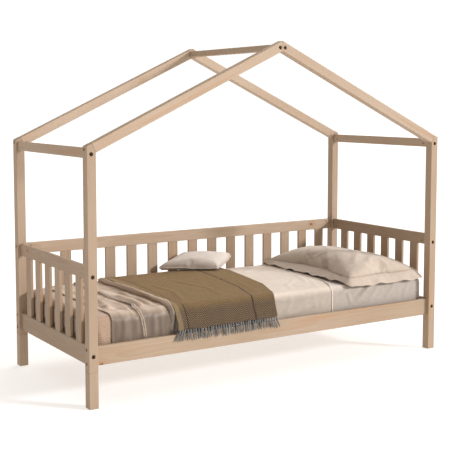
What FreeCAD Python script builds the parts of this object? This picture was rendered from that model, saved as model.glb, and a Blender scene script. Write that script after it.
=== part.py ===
import FreeCAD, Part
import math
import os

V = FreeCAD.Vector
os.makedirs("parts", exist_ok=True)

# House frame bed for an 80 x 200 cm mattress, millimetres.
# X runs from the foot end (-X) to the head end (+X), Y from the open front
# (-Y) to the guarded back (+Y), Z up. Origin on the floor, midway both ways.

# ---- overall sizes -----------------------------------------------------
LENGTH = 2080.0          # over the posts, X
WIDTH = 904.0            # over the posts, Y
POST = 45.0              # square section of posts, legs and rafters
LEG_H = 165.0            # leg blocks under the posts
EAVE_Z = 1168.0          # outer top corner of a post
APEX_Z = 1655.0          # top of the roof peak
EASE = 2.5               # eased long edges of posts, rails and rafters
EASE_SMALL = 1.8         # eased long edges of balusters, slats and cleats
JOINT_V = 1.5            # bevel round each rafter end, so its joints show a line
LEG_V = 1.2              # the same round the joint of leg and post

XO = LENGTH / 2.0        # outer face of the posts, X
XI = XO - POST           # inner face of the posts, X
YO = WIDTH / 2.0
YI = YO - POST
XC = XO - POST / 2.0     # post centre line
YC = YO - POST / 2.0

# ---- roof --------------------------------------------------------------
SLOPE = (APEX_Z - EAVE_Z) / XO              # rise over run
ANG = math.atan(SLOPE)
RAFTER_DEPTH = POST                         # across the slope
RAFTER_DROP = RAFTER_DEPTH / math.cos(ANG)  # measured plumb
SEAT_X = XI + RAFTER_DEPTH * math.sin(ANG)  # top of the square rafter cut
SEAT_Z = APEX_Z - SLOPE * SEAT_X
HEEL_Z = SEAT_Z - RAFTER_DEPTH * math.cos(ANG)
RIDGE_W, RIDGE_H, RIDGE_Z0 = 45.0, 30.0, 1609.0
EAVE_T, EAVE_H, EAVE_Z0 = 26.0, 45.0, 1115.0
EAVE_IN = 9.0                               # recess from the outer post face

# ---- rails -------------------------------------------------------------
RAIL_Z0, RAIL_H = 190.0, 88.0               # bottom rails all round
SIDE_T = 20.0                               # side rails and guard rail
SIDE_AXIS = 17.0                            # rail centre from each +Y post face
YF = -YI - SIDE_AXIS                        # centre plane, front rail
YB = YO - SIDE_AXIS                         # centre plane, back rail and guard
END_T = 18.0                                # end panel rails
TOP_Z0, TOP_H = 577.0, 60.0                 # top rails of ends and guard

# ---- balusters ---------------------------------------------------------
BAL_W, BAL_T = 58.0, 15.0
TENON_W, TENON_T, TENON_L = 40.0, 8.0, 12.0
TENON_FIT = 0.06                            # clearance on each side
END_BAL_Y = [-306.25, -183.75, -61.25, 61.25, 183.75, 306.25]
GUARD_BAL_X = [8.0 + 129.3 * k for k in range(-6, 8)]

# ---- slatted base ------------------------------------------------------
CLEAT_W, CLEAT_H, CLEAT_Z0, CLEAT_X = 24.0, 24.0, 196.0, 940.0
SLAT_W, SLAT_T, SLAT_N, SLAT_X = 75.0, 18.0, 15, 900.0
SLAT_Z0 = CLEAT_Z0 + CLEAT_H
SLAT_TOP = SLAT_Z0 + SLAT_T
SLAT_END = 3.0                              # slat end to rail

# ---- hardware ----------------------------------------------------------
BOLT_R, BOLT_HOLE_R = 3.0, 3.25
HEAD_R, HEAD_H = 6.0, 4.5
BORE_R, SINK = 8.0, 5.5                     # end faces: counterbore radius, head below the wood
BORE_R_SIDE, SINK_SIDE = 9.5, 8.0           # long sides: wider and deeper
BOLT_L, BOLT_L_SHORT = 70.0, 55.0
NUT_R, NUT_L, NUT_FIT, NUT_BACK = 5.0, 13.0, 0.05, 5.0
DOWEL_R, DOWEL_L, DOWEL_FIT = 4.0, 35.0, 0.05
STUD_R, STUD_DOWN, STUD_UP = 4.0, 35.0, 30.0
SCREW_R, SCREW_HEAD_R, SCREW_HEAD_H, SCREW_FIT = 2.0, 4.0, 2.4, 0.05
SLAT_SCREW_L, CLEAT_SCREW_L = 30.0, 35.0

SIDE_BOLT_Z = [202.0, 266.0]
GUARD_BOLT_Z, GUARD_DOWEL_Z = 622.0, 592.0
RAFTER_BOLT_Z = 1155.0
END_BOT_BOLT_Z, END_BOT_DOWEL_Z = 237.0, [222.0, 252.0]
END_TOP_BOLT_Z, END_TOP_DOWEL_Z = 593.0, 621.0
EAVE_BOLT_Z, EAVE_DOWEL_Z = 1134.0, 1122.0
RIDGE_BOLT_X, RIDGE_BOLT_Z = 14.5, 1622.0
PEAK_DOWEL_Z, PEAK_DOWEL_L = 1640.0, 28.0

# ---- bedding -----------------------------------------------------------
GAP = 0.3                                   # clear between loose bodies
BED_Z0 = SLAT_TOP + GAP
SHEET_T = 2.0
MAT_L, MAT_W, MAT_H = 1996.0, 796.0, 157.4
MAT_R = 32.0
MAT_Z0 = BED_Z0 + SHEET_T
SHEET_TOP = MAT_Z0 + MAT_H + SHEET_T
HEM_RETURN = 60.0
SKIN = 0.2                                  # air round the mattress sides


def box(x0, x1, y0, y1, z0, z1):
    x0, x1 = min(x0, x1), max(x0, x1)
    y0, y1 = min(y0, y1), max(y0, y1)
    z0, z1 = min(z0, z1), max(z0, z1)
    return Part.makeBox(x1 - x0, y1 - y0, z1 - z0, V(x0, y0, z0))


def rod(r, p, q):
    d = q - p
    return Part.makeCylinder(r, d.Length, p, d)


def cone(r0, r1, p, q):
    d = q - p
    return Part.makeCone(r0, r1, d.Length, p, d)


def cut(shape, tools):
    return shape.cut(Part.makeCompound(tools)) if tools else shape


def ease(shape, axis, r, least=60.0):
    """Round the edges of a solid that run along one axis."""
    edges = []
    for e in shape.Edges:
        if e.Curve.TypeId != "Part::GeomLine" or e.Length < least:
            continue
        d = e.tangentAt(e.FirstParameter)
        if abs(abs(d.dot(axis)) - 1.0) < 1e-4:
            edges.append(e)
    return shape.makeFillet(r, edges)


def bevel(shape, point, normal, size):
    """Bevel the outline of the end face that lies in a plane."""
    edges = [e for e in shape.Edges
             if all(abs((v.Point - point).dot(normal)) < 1e-3 for v in e.Vertexes)
             and abs((e.valueAt((e.FirstParameter + e.LastParameter) / 2) - point).dot(normal)) < 1e-3]
    return shape.makeChamfer(size, edges)


def prism_y(points, y0, y1):
    """A closed X-Z outline pushed along Y."""
    pts = [V(x, y0, z) for x, z in points]
    return Part.Face(Part.makePolygon(pts + [pts[0]])).extrude(V(0, y1 - y0, 0))


def prism_x(points, x0, x1):
    """A closed Y-Z outline pushed along X."""
    pts = [V(x0, y, z) for y, z in points]
    return Part.Face(Part.makePolygon(pts + [pts[0]])).extrude(V(x1 - x0, 0, 0))


def export(name, shape):
    solids = shape.Solids
    for s in solids:
        if not s.isValid() or s.Volume <= 0:
            raise ValueError(name + " is not a sound solid")
    out = solids[0] if len(solids) == 1 else Part.makeCompound(solids)
    out.exportStep("parts/" + name + ".step")
    print(name, len(solids), round(sum(s.Volume for s in solids) / 1e3, 1), "cm3")


ENDS = {"foot": -1.0, "head": 1.0}
SIDES = {"front": -1.0, "back": 1.0}
TIP_CLEAR = 1.5
EX, EY, EZ = V(1, 0, 0), V(0, 1, 0), V(0, 0, 1)


# ---- fastener positions ------------------------------------------------
# Each bolt: point on the outer face, direction inwards, length, and the way
# its barrel nut lies.
def bolt_y(side):
    """Y of the bolts that run along X in the front or back posts."""
    return YF if side < 0 else YB


bolts = []
for e in (-1.0, 1.0):
    for s in (-1.0, 1.0):
        y = bolt_y(s)
        inward = V(-e, 0, 0)
        for z in SIDE_BOLT_Z:
            bolts.append((V(e * XO, y, z), inward, BOLT_L, EY))
        bolts.append((V(e * XO, y, RAFTER_BOLT_Z), inward, BOLT_L_SHORT, EY))
        if s > 0:
            bolts.append((V(e * XO, y, GUARD_BOLT_Z), inward, BOLT_L, EY))
        for z in (END_BOT_BOLT_Z, END_TOP_BOLT_Z, EAVE_BOLT_Z):
            bolts.append((V(e * (XO - 22.0), s * YO, z), V(0, -s, 0), BOLT_L, EX))
        bolts.append((V(e * RIDGE_BOLT_X, s * YO, RIDGE_BOLT_Z), V(0, -s, 0), BOLT_L, EZ))


def bore(d):
    """Counterbore radius and how far the bolt head lies below the wood."""
    return (BORE_R_SIDE, SINK_SIDE) if abs(d.y) > 0.5 else (BORE_R, SINK)


def bolt_solid(p, d, length):
    sink = bore(d)[1]
    head = rod(HEAD_R, p + d * sink, p + d * (sink + HEAD_H))
    shank = rod(BOLT_R, p + d * (sink + HEAD_H), p + d * (sink + HEAD_H + length))
    body = head.fuse(shank)
    # hexagon socket
    u = V(0, 0, 1) if abs(d.z) < 0.5 else V(1, 0, 0)
    w = d.cross(u)
    pts = [p + d * sink + u * (2.3 * math.cos(math.radians(60 * i)))
           + w * (2.3 * math.sin(math.radians(60 * i))) for i in range(6)]
    hexa = Part.Face(Part.makePolygon(pts + [pts[0]])).extrude(d * 3.5)
    return body.cut(hexa).removeSplitter()


def bolt_cut(p, d, length):
    """Counterbore and clearance hole for one bolt."""
    r, sink = bore(d)
    end = sink + HEAD_H + length + TIP_CLEAR
    return [rod(r, p - d, p + d * (sink + HEAD_H)), rod(BOLT_HOLE_R, p, p + d * end)]


def nut_centre(p, d, length):
    return p + d * (bore(d)[1] + HEAD_H + length - (5.0 if length > 60 else 8.0))


def nut_solid(p, d, length, way):
    c = nut_centre(p, d, length)
    body = rod(NUT_R, c - way * (NUT_L / 2), c + way * (NUT_L / 2))
    return body.cut(rod(BOLT_R + 0.05, c - d * 12, c + d * 12))


def nut_cut(p, d, length, way):
    """Cross hole for the barrel nut, open towards the inside of the bed."""
    c = nut_centre(p, d, length)
    if way == EY:
        inner = V(0, 1, 0) if c.y < 0 else V(0, -1, 0)
    elif way == EX:
        inner = V(1, 0, 0) if c.x < 0 else V(-1, 0, 0)
    else:
        inner = V(0, 0, -1)
    return [rod(NUT_R + NUT_FIT, c - inner * (NUT_L / 2 + 0.3), c + inner * 40.0)]


cut_bolts = []
cut_nuts = []
for p, d, length, way in bolts:
    cut_bolts.append((p, bolt_cut(p, d, length)))
    cut_nuts.append((nut_centre(p, d, length), nut_cut(p, d, length, way)))

# Each dowel: centre, direction, length.
dowels = []
for e in (-1.0, 1.0):
    for s in (-1.0, 1.0):
        for z in END_BOT_DOWEL_Z + [END_TOP_DOWEL_Z, EAVE_DOWEL_Z]:
            dowels.append((V(e * XC if z < 1000 else e * (XO - 22.0), s * YI, z), EY, DOWEL_L))
        # across the square cut between post and rafter
        t = 13.0
        along = V(-e * math.cos(ANG), 0, math.sin(ANG))
        c = V(e * (SEAT_X - t * math.sin(ANG)),
              YF - 16.0 if s < 0 else YB - 16.0,
              SEAT_Z - t * math.cos(ANG))
        dowels.append((c, along, DOWEL_L))
        # down into the leg block
        dowels.append((V(e * (XC + 12.0), s * (YC + 12.0), LEG_H), EZ, DOWEL_L))
    dowels.append((V(e * XI, YB, GUARD_DOWEL_Z), EX, DOWEL_L))
for s in (-1.0, 1.0):
    dowels.append((V(0, s * YC, PEAK_DOWEL_Z), EX, PEAK_DOWEL_L))


def dowel_solid(c, d, length):
    h = length / 2
    body = rod(DOWEL_R, c - d * (h - 1.0), c + d * (h - 1.0))
    tip = cone(DOWEL_R, DOWEL_R - 0.9, c + d * (h - 1.0), c + d * h)
    tail = cone(DOWEL_R, DOWEL_R - 0.9, c - d * (h - 1.0), c - d * h)
    return body.fuse([tip, tail])


def dowel_cut(c, d, length):
    h = length / 2 + 0.5
    return [rod(DOWEL_R + DOWEL_FIT, c - d * h, c + d * h)]


studs = [V(e * XC, s * YC, LEG_H) for e in (-1.0, 1.0) for s in (-1.0, 1.0)]


def near(shape, items, reach=0.5):
    """The cutters that touch a piece."""
    b = shape.BoundBox
    out = []
    for tools in items:
        for t in tools:
            if b.intersect(t.BoundBox):
                out.append(t)
    return out


def drilled(shape, with_nuts=False):
    """Take every bolt, dowel and, in the nut's own piece, nut hole out."""
    tools = near(shape, [t for _, t in cut_bolts])
    tools += near(shape, [dowel_cut(*w) for w in dowels])
    if with_nuts:
        b = shape.BoundBox
        for c, t in cut_nuts:
            if b.isInside(c):
                tools += t
    return cut(shape, tools)


# ---- legs and posts ----------------------------------------------------
post_outline = [(XI, LEG_H), (XO, LEG_H), (XO, EAVE_Z), (SEAT_X, SEAT_Z), (XI, HEEL_Z)]
for en, e in ENDS.items():
    for sn, s in SIDES.items():
        x0, x1 = e * XI, e * XO
        y0, y1 = s * YI, s * YO
        leg = ease(box(x0, x1, y0, y1, 0, LEG_H), EZ, EASE)
        bottom = [ed for ed in leg.Edges if ed.BoundBox.ZMax < 0.01]
        leg = leg.makeChamfer(1.2, bottom)
        leg = bevel(leg, V(0, 0, LEG_H), EZ, LEG_V)
        c = V(e * XC, s * YC, LEG_H)
        leg = cut(leg, [rod(STUD_R + 0.05, c - EZ * (STUD_DOWN + 0.5), c + EZ * 5)]
                  + near(leg, [dowel_cut(*w) for w in dowels]))
        export("leg_%s_%s" % (en, sn), leg)

        post = prism_y([(e * x, z) for x, z in post_outline], y0, y1)
        post = ease(post, EZ, EASE)
        post = bevel(post, V(0, 0, LEG_H), EZ, LEG_V)
        post = drilled(post)
        post = cut(post, [rod(STUD_R + 0.05, c - EZ * 5, c + EZ * (STUD_UP + 0.5))])
        export("post_%s_%s" % (en, sn), post)

# ---- roof --------------------------------------------------------------
rafter_outline = [(SEAT_X, SEAT_Z), (XI, HEEL_Z), (0.0, APEX_Z - RAFTER_DROP), (0.0, APEX_Z)]
for en, e in ENDS.items():
    along = V(-e * math.cos(ANG), 0, math.sin(ANG))
    for sn, s in SIDES.items():
        r = prism_y([(e * x, z) for x, z in rafter_outline], s * YI, s * YO)
        r = ease(r, along, EASE, least=300.0)
        r = bevel(r, V(0, 0, APEX_Z), EX, JOINT_V)
        r = bevel(r, V(e * SEAT_X, 0, SEAT_Z), along, JOINT_V)
        export("rafter_%s_%s" % (sn, en), drilled(r, with_nuts=True))
    x1 = XO - EAVE_IN
    beam = box(e * (x1 - EAVE_T), e * x1, -YI, YI, EAVE_Z0, EAVE_Z0 + EAVE_H)
    export("eave_beam_" + en, drilled(ease(beam, EY, EASE_SMALL), with_nuts=True))

ridge = box(-RIDGE_W / 2, RIDGE_W / 2, -YI, YI, RIDGE_Z0, RIDGE_Z0 + RIDGE_H)
export("ridge_beam", drilled(ease(ridge, EY, EASE_SMALL), with_nuts=True))


# ---- rails -------------------------------------------------------------
def mortise(x, y, z, wide_along_x):
    """Pocket for one baluster tenon, opening at height z (up or down)."""
    w, t = TENON_W / 2 + TENON_FIT, TENON_T / 2 + TENON_FIT
    dx, dy = (w, t) if wide_along_x else (t, w)
    d = TENON_L + 0.5
    return box(x - dx, x + dx, y - dy, y + dy, z[0], z[0] + z[1] * d)


UP = (TOP_Z0, 1.0)                          # into the underside of a top rail
DOWN = (RAIL_Z0 + RAIL_H, -1.0)             # into the top of a bottom rail

cleat_screw_x = [-SLAT_X + 2 * SLAT_X / (SLAT_N - 1) * (i + 0.5) for i in range(0, SLAT_N - 1, 2)]
CLEAT_Y = {"front": (YF + SIDE_T / 2, YF + SIDE_T / 2 + CLEAT_W),
           "back": (YB - SIDE_T / 2 - CLEAT_W, YB - SIDE_T / 2)}


def cleat_screws(sn):
    """Head point and direction of the screws that hold one cleat."""
    y0, y1 = CLEAT_Y[sn]
    z = CLEAT_Z0 + CLEAT_H / 2
    if sn == "front":
        return [(V(x, y1, z), V(0, -1, 0)) for x in cleat_screw_x]
    return [(V(x, y0, z), V(0, 1, 0)) for x in cleat_screw_x]


def screw_solid(p, d, length):
    head = cone(SCREW_HEAD_R, SCREW_R, p, p + d * SCREW_HEAD_H)
    shank = rod(SCREW_R, p + d * SCREW_HEAD_H, p + d * (length - 3.0))
    tip = cone(SCREW_R, 0.4, p + d * (length - 3.0), p + d * length)
    s = head.fuse([shank, tip])
    cross = box(-1.7, 1.7, -0.45, 0.45, -1.0, 1.4).fuse(box(-0.45, 0.45, -1.7, 1.7, -1.0, 1.4))
    cross.Placement = FreeCAD.Placement(p, FreeCAD.Rotation(EZ, d))
    return s.cut(cross)


def screw_cut(p, d, length):
    f = SCREW_FIT
    return [cone(SCREW_HEAD_R + f, SCREW_R + f, p, p + d * SCREW_HEAD_H),
            rod(SCREW_R + f, p, p + d * (length + 0.5)),
            rod(SCREW_HEAD_R + f, p - d, p)]


for sn, s, yc in (("front", -1.0, YF), ("back", 1.0, YB)):
    rail = box(-XI, XI, yc - SIDE_T / 2, yc + SIDE_T / 2, RAIL_Z0, RAIL_Z0 + RAIL_H)
    rail = ease(rail, EX, EASE)
    if sn == "back":
        rail = cut(rail, [mortise(x, yc, DOWN, True) for x in GUARD_BAL_X])
    rail = cut(rail, near(rail, [screw_cut(p, d, CLEAT_SCREW_L) for p, d in cleat_screws(sn)]))
    export("side_rail_" + sn, drilled(rail, with_nuts=True))

guard = box(-XI, XI, YB - SIDE_T / 2, YB + SIDE_T / 2, TOP_Z0, TOP_Z0 + TOP_H)
guard = cut(ease(guard, EX, EASE), [mortise(x, YB, UP, True) for x in GUARD_BAL_X])
export("guard_top_rail", drilled(guard, with_nuts=True))

for en, e in ENDS.items():
    for part, z0, h, way in (("bottom", RAIL_Z0, RAIL_H, DOWN), ("top", TOP_Z0, TOP_H, UP)):
        rail = box(e * (XC - END_T / 2), e * (XC + END_T / 2), -YI, YI, z0, z0 + h)
        rail = ease(rail, EY, EASE)
        rail = cut(rail, [mortise(e * XC, y, way, False) for y in END_BAL_Y])
        export("%s_end_%s_rail" % (en, part), drilled(rail, with_nuts=True))


# ---- balusters ---------------------------------------------------------
def baluster(x, y, wide_along_x):
    z0, z1 = RAIL_Z0 + RAIL_H, TOP_Z0
    w, t = BAL_W / 2, BAL_T / 2
    tw, tt = TENON_W / 2, TENON_T / 2
    dx, dy, ex, ey = (w, t, tw, tt) if wide_along_x else (t, w, tt, tw)
    body = ease(box(x - dx, x + dx, y - dy, y + dy, z0, z1), EZ, EASE_SMALL)
    tenon = box(x - ex, x + ex, y - ey, y + ey, z0 - TENON_L, z1 + TENON_L)
    return body.fuse(tenon).removeSplitter()


export("guard_balusters", Part.makeCompound([baluster(x, YB, True) for x in GUARD_BAL_X]))
for en, e in ENDS.items():
    export(en + "_end_balusters",
           Part.makeCompound([baluster(e * XC, y, False) for y in END_BAL_Y]))

# ---- slatted base ------------------------------------------------------
slat_x = [-SLAT_X + 2 * SLAT_X / (SLAT_N - 1) * i for i in range(SLAT_N)]
slat_screw_y = {sn: sum(CLEAT_Y[sn]) / 2 for sn in SIDES}
slat_screw = [(V(x, y, SLAT_TOP), V(0, 0, -1)) for x in slat_x for y in slat_screw_y.values()]

for sn in SIDES:
    y0, y1 = CLEAT_Y[sn]
    cleat = ease(box(-CLEAT_X, CLEAT_X, y0, y1, CLEAT_Z0, CLEAT_Z0 + CLEAT_H), EX, 1.0)
    tools = [screw_cut(p, d, CLEAT_SCREW_L) for p, d in cleat_screws(sn)]
    tools += [screw_cut(p, d, SLAT_SCREW_L) for p, d in slat_screw]
    export("slat_cleat_" + sn, cut(cleat, near(cleat, tools)))

ys0 = YF + SIDE_T / 2 + SLAT_END
ys1 = YB - SIDE_T / 2 - SLAT_END
slats = []
for x in slat_x:
    b = ease(box(x - SLAT_W / 2, x + SLAT_W / 2, ys0, ys1, SLAT_Z0, SLAT_TOP), EY, EASE_SMALL)
    slats.append(cut(b, near(b, [screw_cut(p, d, SLAT_SCREW_L) for p, d in slat_screw])))
export("slats", Part.makeCompound(slats))

# ---- hardware ----------------------------------------------------------
export("bolts_m6x70", Part.makeCompound([bolt_solid(p, d, n) for p, d, n, w in bolts if n == BOLT_L]))
export("bolts_m6x55", Part.makeCompound([bolt_solid(p, d, n) for p, d, n, w in bolts if n != BOLT_L]))
export("barrel_nuts", Part.makeCompound([nut_solid(p, d, n, w) for p, d, n, w in bolts]))
export("dowels", Part.makeCompound([dowel_solid(*w) for w in dowels]))
export("leg_studs", Part.makeCompound([rod(STUD_R, c - EZ * STUD_DOWN, c + EZ * STUD_UP) for c in studs]))
export("slat_screws", Part.makeCompound([screw_solid(p, d, SLAT_SCREW_L) for p, d in slat_screw]))
export("cleat_screws", Part.makeCompound(
    [screw_solid(p, d, CLEAT_SCREW_L) for sn in SIDES for p, d in cleat_screws(sn)]))

# ---- mattress and fitted sheet -----------------------------------------


def soft_block(l, w, z0, z1, r_up, r_edge):
    """A block with rounded upright corners and softened top and bottom."""
    b = box(-l / 2, l / 2, -w / 2, w / 2, z0, z1)
    b = ease(b, EZ, r_up, least=50.0)
    rim = [ed for ed in b.Edges if ed.BoundBox.ZMax - ed.BoundBox.ZMin < 0.01]
    return b.makeFillet(r_edge, rim)


mattress = soft_block(MAT_L, MAT_W, MAT_Z0, MAT_Z0 + MAT_H, 45.0, MAT_R)
export("mattress", mattress)

outer = soft_block(MAT_L + 2 * SHEET_T, MAT_W + 2 * SHEET_T, BED_Z0, SHEET_TOP, 47.0, MAT_R + SHEET_T)
hollow = soft_block(MAT_L + 2 * SKIN, MAT_W + 2 * SKIN, MAT_Z0, MAT_Z0 + MAT_H, 45.0 + SKIN, MAT_R)
mouth = box(-MAT_L / 2 + HEM_RETURN, MAT_L / 2 - HEM_RETURN,
            -MAT_W / 2 + HEM_RETURN, MAT_W / 2 - HEM_RETURN, BED_Z0 - 1, MAT_Z0 + 5)
export("fitted_sheet", outer.cut(Part.makeCompound([hollow, mouth])))


# ---- layers on the bed -------------------------------------------------
def layer(x0, x1, top0, thick, front, front_z, back, back_z, r=26.0):
    """A cover over the bed: flat on top, turned down at front and back."""
    z1 = top0 + thick
    out = prism_x([(front - thick, front_z), (front - thick, z1), (back + thick, z1),
                   (back + thick, back_z)], x0, x1)
    out = out.makeFillet(r + thick, [ed for ed in out.Edges
                                     if ed.BoundBox.YLength < 0.01 and ed.BoundBox.ZMin > z1 - 1])
    inn = prism_x([(front, front_z - 5), (front, top0), (back, top0), (back, back_z - 5)],
                  x0 - 5, x1 + 5)
    inn = inn.makeFillet(r, [ed for ed in inn.Edges
                             if ed.BoundBox.YLength < 0.01 and ed.BoundBox.ZMin > top0 - 1])
    return out.cut(inn)


HALF = MAT_W / 2 + SHEET_T                  # sheet outside, Y
UNDER_T, COVER_T, TOP_T = 4.0, 8.0, 1.6
THROW_T, STACK_T = 7.0, 24.0                # throw, and where it lies in folds at the back
UNDER_X0, UNDER_X1 = -1000.2, -600.0
COVER_X0, COVER_X1 = -975.0, -583.0

under = layer(UNDER_X0, UNDER_X1, SHEET_TOP, UNDER_T, -HALF - 0.2, 258.0, HALF + 0.2, 330.0)
# turned down over the foot end of the mattress
fx, ft, fz = UNDER_X0, UNDER_T, SHEET_TOP
flap = prism_y([(fx - ft, 300.0), (fx - ft, fz), (fx, fz + ft), (fx + 12.0, fz + ft),
                (fx + 12.0, fz), (fx, fz), (fx, 300.0)], -HALF + 32.0, HALF - 32.0)
export("under_blanket", under.fuse(flap).removeSplitter())

cover_top = SHEET_TOP + UNDER_T
coverlet = layer(COVER_X0, COVER_X1, cover_top, COVER_T, -HALF - UNDER_T - 0.4, 262.0,
                 HALF + UNDER_T + 0.4, 300.0)
# rolled fold along the edge beside the throw
roll = Part.makeCylinder(13.0, 2 * HALF - 60, V(COVER_X1 - 15.0, -HALF + 30, cover_top + COVER_T + 8.0), EY)
export("coverlet", coverlet.fuse(roll).removeSplitter())

# top sheet: from under the throw to its hem below the pillow
LAYER_R = 26.0
top_sheet = layer(-570.0, 456.0, SHEET_TOP, TOP_T, -HALF - 0.2, 258.0, HALF + 0.2, 300.0, LAYER_R)
# the hem end curves back towards the pillow
hem = Part.BSplineCurve()
hem.interpolate([V(356, -382, 200), V(411, -274, 200), V(441, -171, 200), V(451, 0, 200), V(453, 200, 200), V(453, 460, 200)])
hem_cut = Part.Wire([hem.toShape(), Part.makeLine(V(453, 460, 200), V(600, 460, 200)),
                     Part.makeLine(V(600, 460, 200), V(600, -460, 200)), Part.makeLine(V(600, -460, 200), V(352, -460, 200)),
                     Part.makeLine(V(352, -460, 200), V(356, -382, 200))])
top_sheet = top_sheet.cut(Part.Face(hem_cut).extrude(V(0, 0, 300)))
export("top_sheet", top_sheet)


# throw: over the top, down the front across the rail, and down the back
def bend(y_side, r, clear, a0, a1, n=6):
    """Points round the top sheet's long edge, kept outside its curve."""
    cy, cz = y_side * (HALF + 0.2 + TOP_T - r), SHEET_TOP + TOP_T - r
    rr = (r + clear) / math.cos(math.radians(abs(a1 - a0) / n / 2))
    pts = []
    for i in range(n):
        a = math.radians(a0 + (a1 - a0) * (i + 0.5) / n)
        pts.append((cy + y_side * rr * math.cos(a), cz + rr * math.sin(a)))
    return pts


rail_front = YF - SIDE_T / 2
HEM_T = 5.0
edge_r = LAYER_R + TOP_T
HANG_Z = 296.0
back_y = HALF + 0.2 + TOP_T + 0.4
stack_top = SHEET_TOP + TOP_T + 0.3 + STACK_T
path_in = ([(back_y, 322.0)] + bend(1.0, edge_r, 0.3, 0.0, 90.0) + bend(-1.0, edge_r, 0.3, 90.0, 8.0)
           + [(rail_front - 0.6, HANG_Z + 4.0), (rail_front - 0.6, HANG_Z)])
path_out = ([(rail_front - 0.6 - HEM_T, HANG_Z), (rail_front - 0.6 - HEM_T, HANG_Z + 6.0)]
            + bend(-1.0, edge_r, 0.3 + THROW_T, 8.0, 90.0)
            + [(-180.0, SHEET_TOP + TOP_T + 0.6 + THROW_T), (60.0, stack_top), (372.0, stack_top),
               (395.0, stack_top - 8.0), (back_y + THROW_T, SHEET_TOP), (back_y + THROW_T, 322.0)])
throw = prism_x(path_in + path_out, -582.0, 150.0)
# the head-side edge runs on a skew: x is least at the front
skew = Part.Face(Part.makePolygon([V(-15, -500, 200), V(200, -500, 200), V(200, 500, 200),
                                   V(125, 500, 200), V(-15, -440, 200), V(-15, -500, 200)])).extrude(V(0, 0, 300))
export("throw", throw.cut(skew))

fringe = box(-578.0, -19.0, rail_front - 5.2, rail_front - 1.2, 240.0, HANG_Z)
export("throw_fringe", fringe)


# ---- pillow and cushion ------------------------------------------------
def cushion_block(l, w, h, r_up, r_edge):
    b = box(-l / 2, l / 2, -w / 2, w / 2, 0, h)
    b = ease(b, EZ, r_up, least=h * 0.9)
    rim_t = [ed for ed in b.Edges if ed.BoundBox.ZMax - ed.BoundBox.ZMin < 0.01]
    return b.makeFillet(r_edge, rim_t)


PIL_X, PIL_Y, PIL_L, PIL_W, PIL_H = 722.0, -10.0, 468.0, 744.0, 126.0
PIL_Z = SHEET_TOP + GAP
pad = cushion_block(PIL_L, PIL_W, PIL_H, 70.0, 50.0)
flange = ease(box(-264, 264, -412, 412, 30.0, 36.0), EZ, 12.0, least=5.0)
pillow = pad.fuse(flange).removeSplitter()
pillow.translate(V(PIL_X, PIL_Y, PIL_Z))
export("pillow", pillow)

CUS_X, CUS_Y, CUS_L, CUS_W, CUS_H = -25.0, 284.0, 450.0, 272.0, 108.0
cushion = cushion_block(CUS_L, CUS_W, CUS_H, 50.0, 48.0)
cushion.translate(V(CUS_X, CUS_Y, stack_top + GAP))
export("cushion", cushion)
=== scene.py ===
import math
import bpy
import bmesh
import numpy as np
from mathutils import Vector, Matrix, noise as mnoise


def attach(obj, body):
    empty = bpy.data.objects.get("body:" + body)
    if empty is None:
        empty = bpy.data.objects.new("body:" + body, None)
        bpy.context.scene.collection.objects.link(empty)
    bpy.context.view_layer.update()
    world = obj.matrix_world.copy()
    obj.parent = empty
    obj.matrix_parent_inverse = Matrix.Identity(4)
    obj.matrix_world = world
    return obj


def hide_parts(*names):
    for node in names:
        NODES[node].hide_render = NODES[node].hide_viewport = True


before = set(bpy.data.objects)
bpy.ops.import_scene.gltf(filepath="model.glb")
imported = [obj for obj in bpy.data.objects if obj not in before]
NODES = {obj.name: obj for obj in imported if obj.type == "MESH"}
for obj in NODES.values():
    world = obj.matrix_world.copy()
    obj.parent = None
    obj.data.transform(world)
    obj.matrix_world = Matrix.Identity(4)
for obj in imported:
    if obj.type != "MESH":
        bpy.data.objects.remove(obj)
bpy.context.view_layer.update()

SC = bpy.context.scene
COL = SC.collection

# ------------------------------------------------------------------ numbers
TOP = 0.3997            # top of the fitted sheet
HALF_W = 0.400          # outside of the fitted sheet, Y
HALF_L = 1.000          # outside of the fitted sheet, X
RAIL_FRONT = -0.434
SLOPE = math.atan((1.655 - 1.168) / 1.040)


def srgb(r, g, b):
    """Linear colour from 0-255 display values."""
    out = []
    for c in (r, g, b):
        c = c / 255.0
        out.append(c / 12.92 if c <= 0.04045 else ((c + 0.055) / 1.055) ** 2.4)
    return (out[0], out[1], out[2], 1.0)


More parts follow.
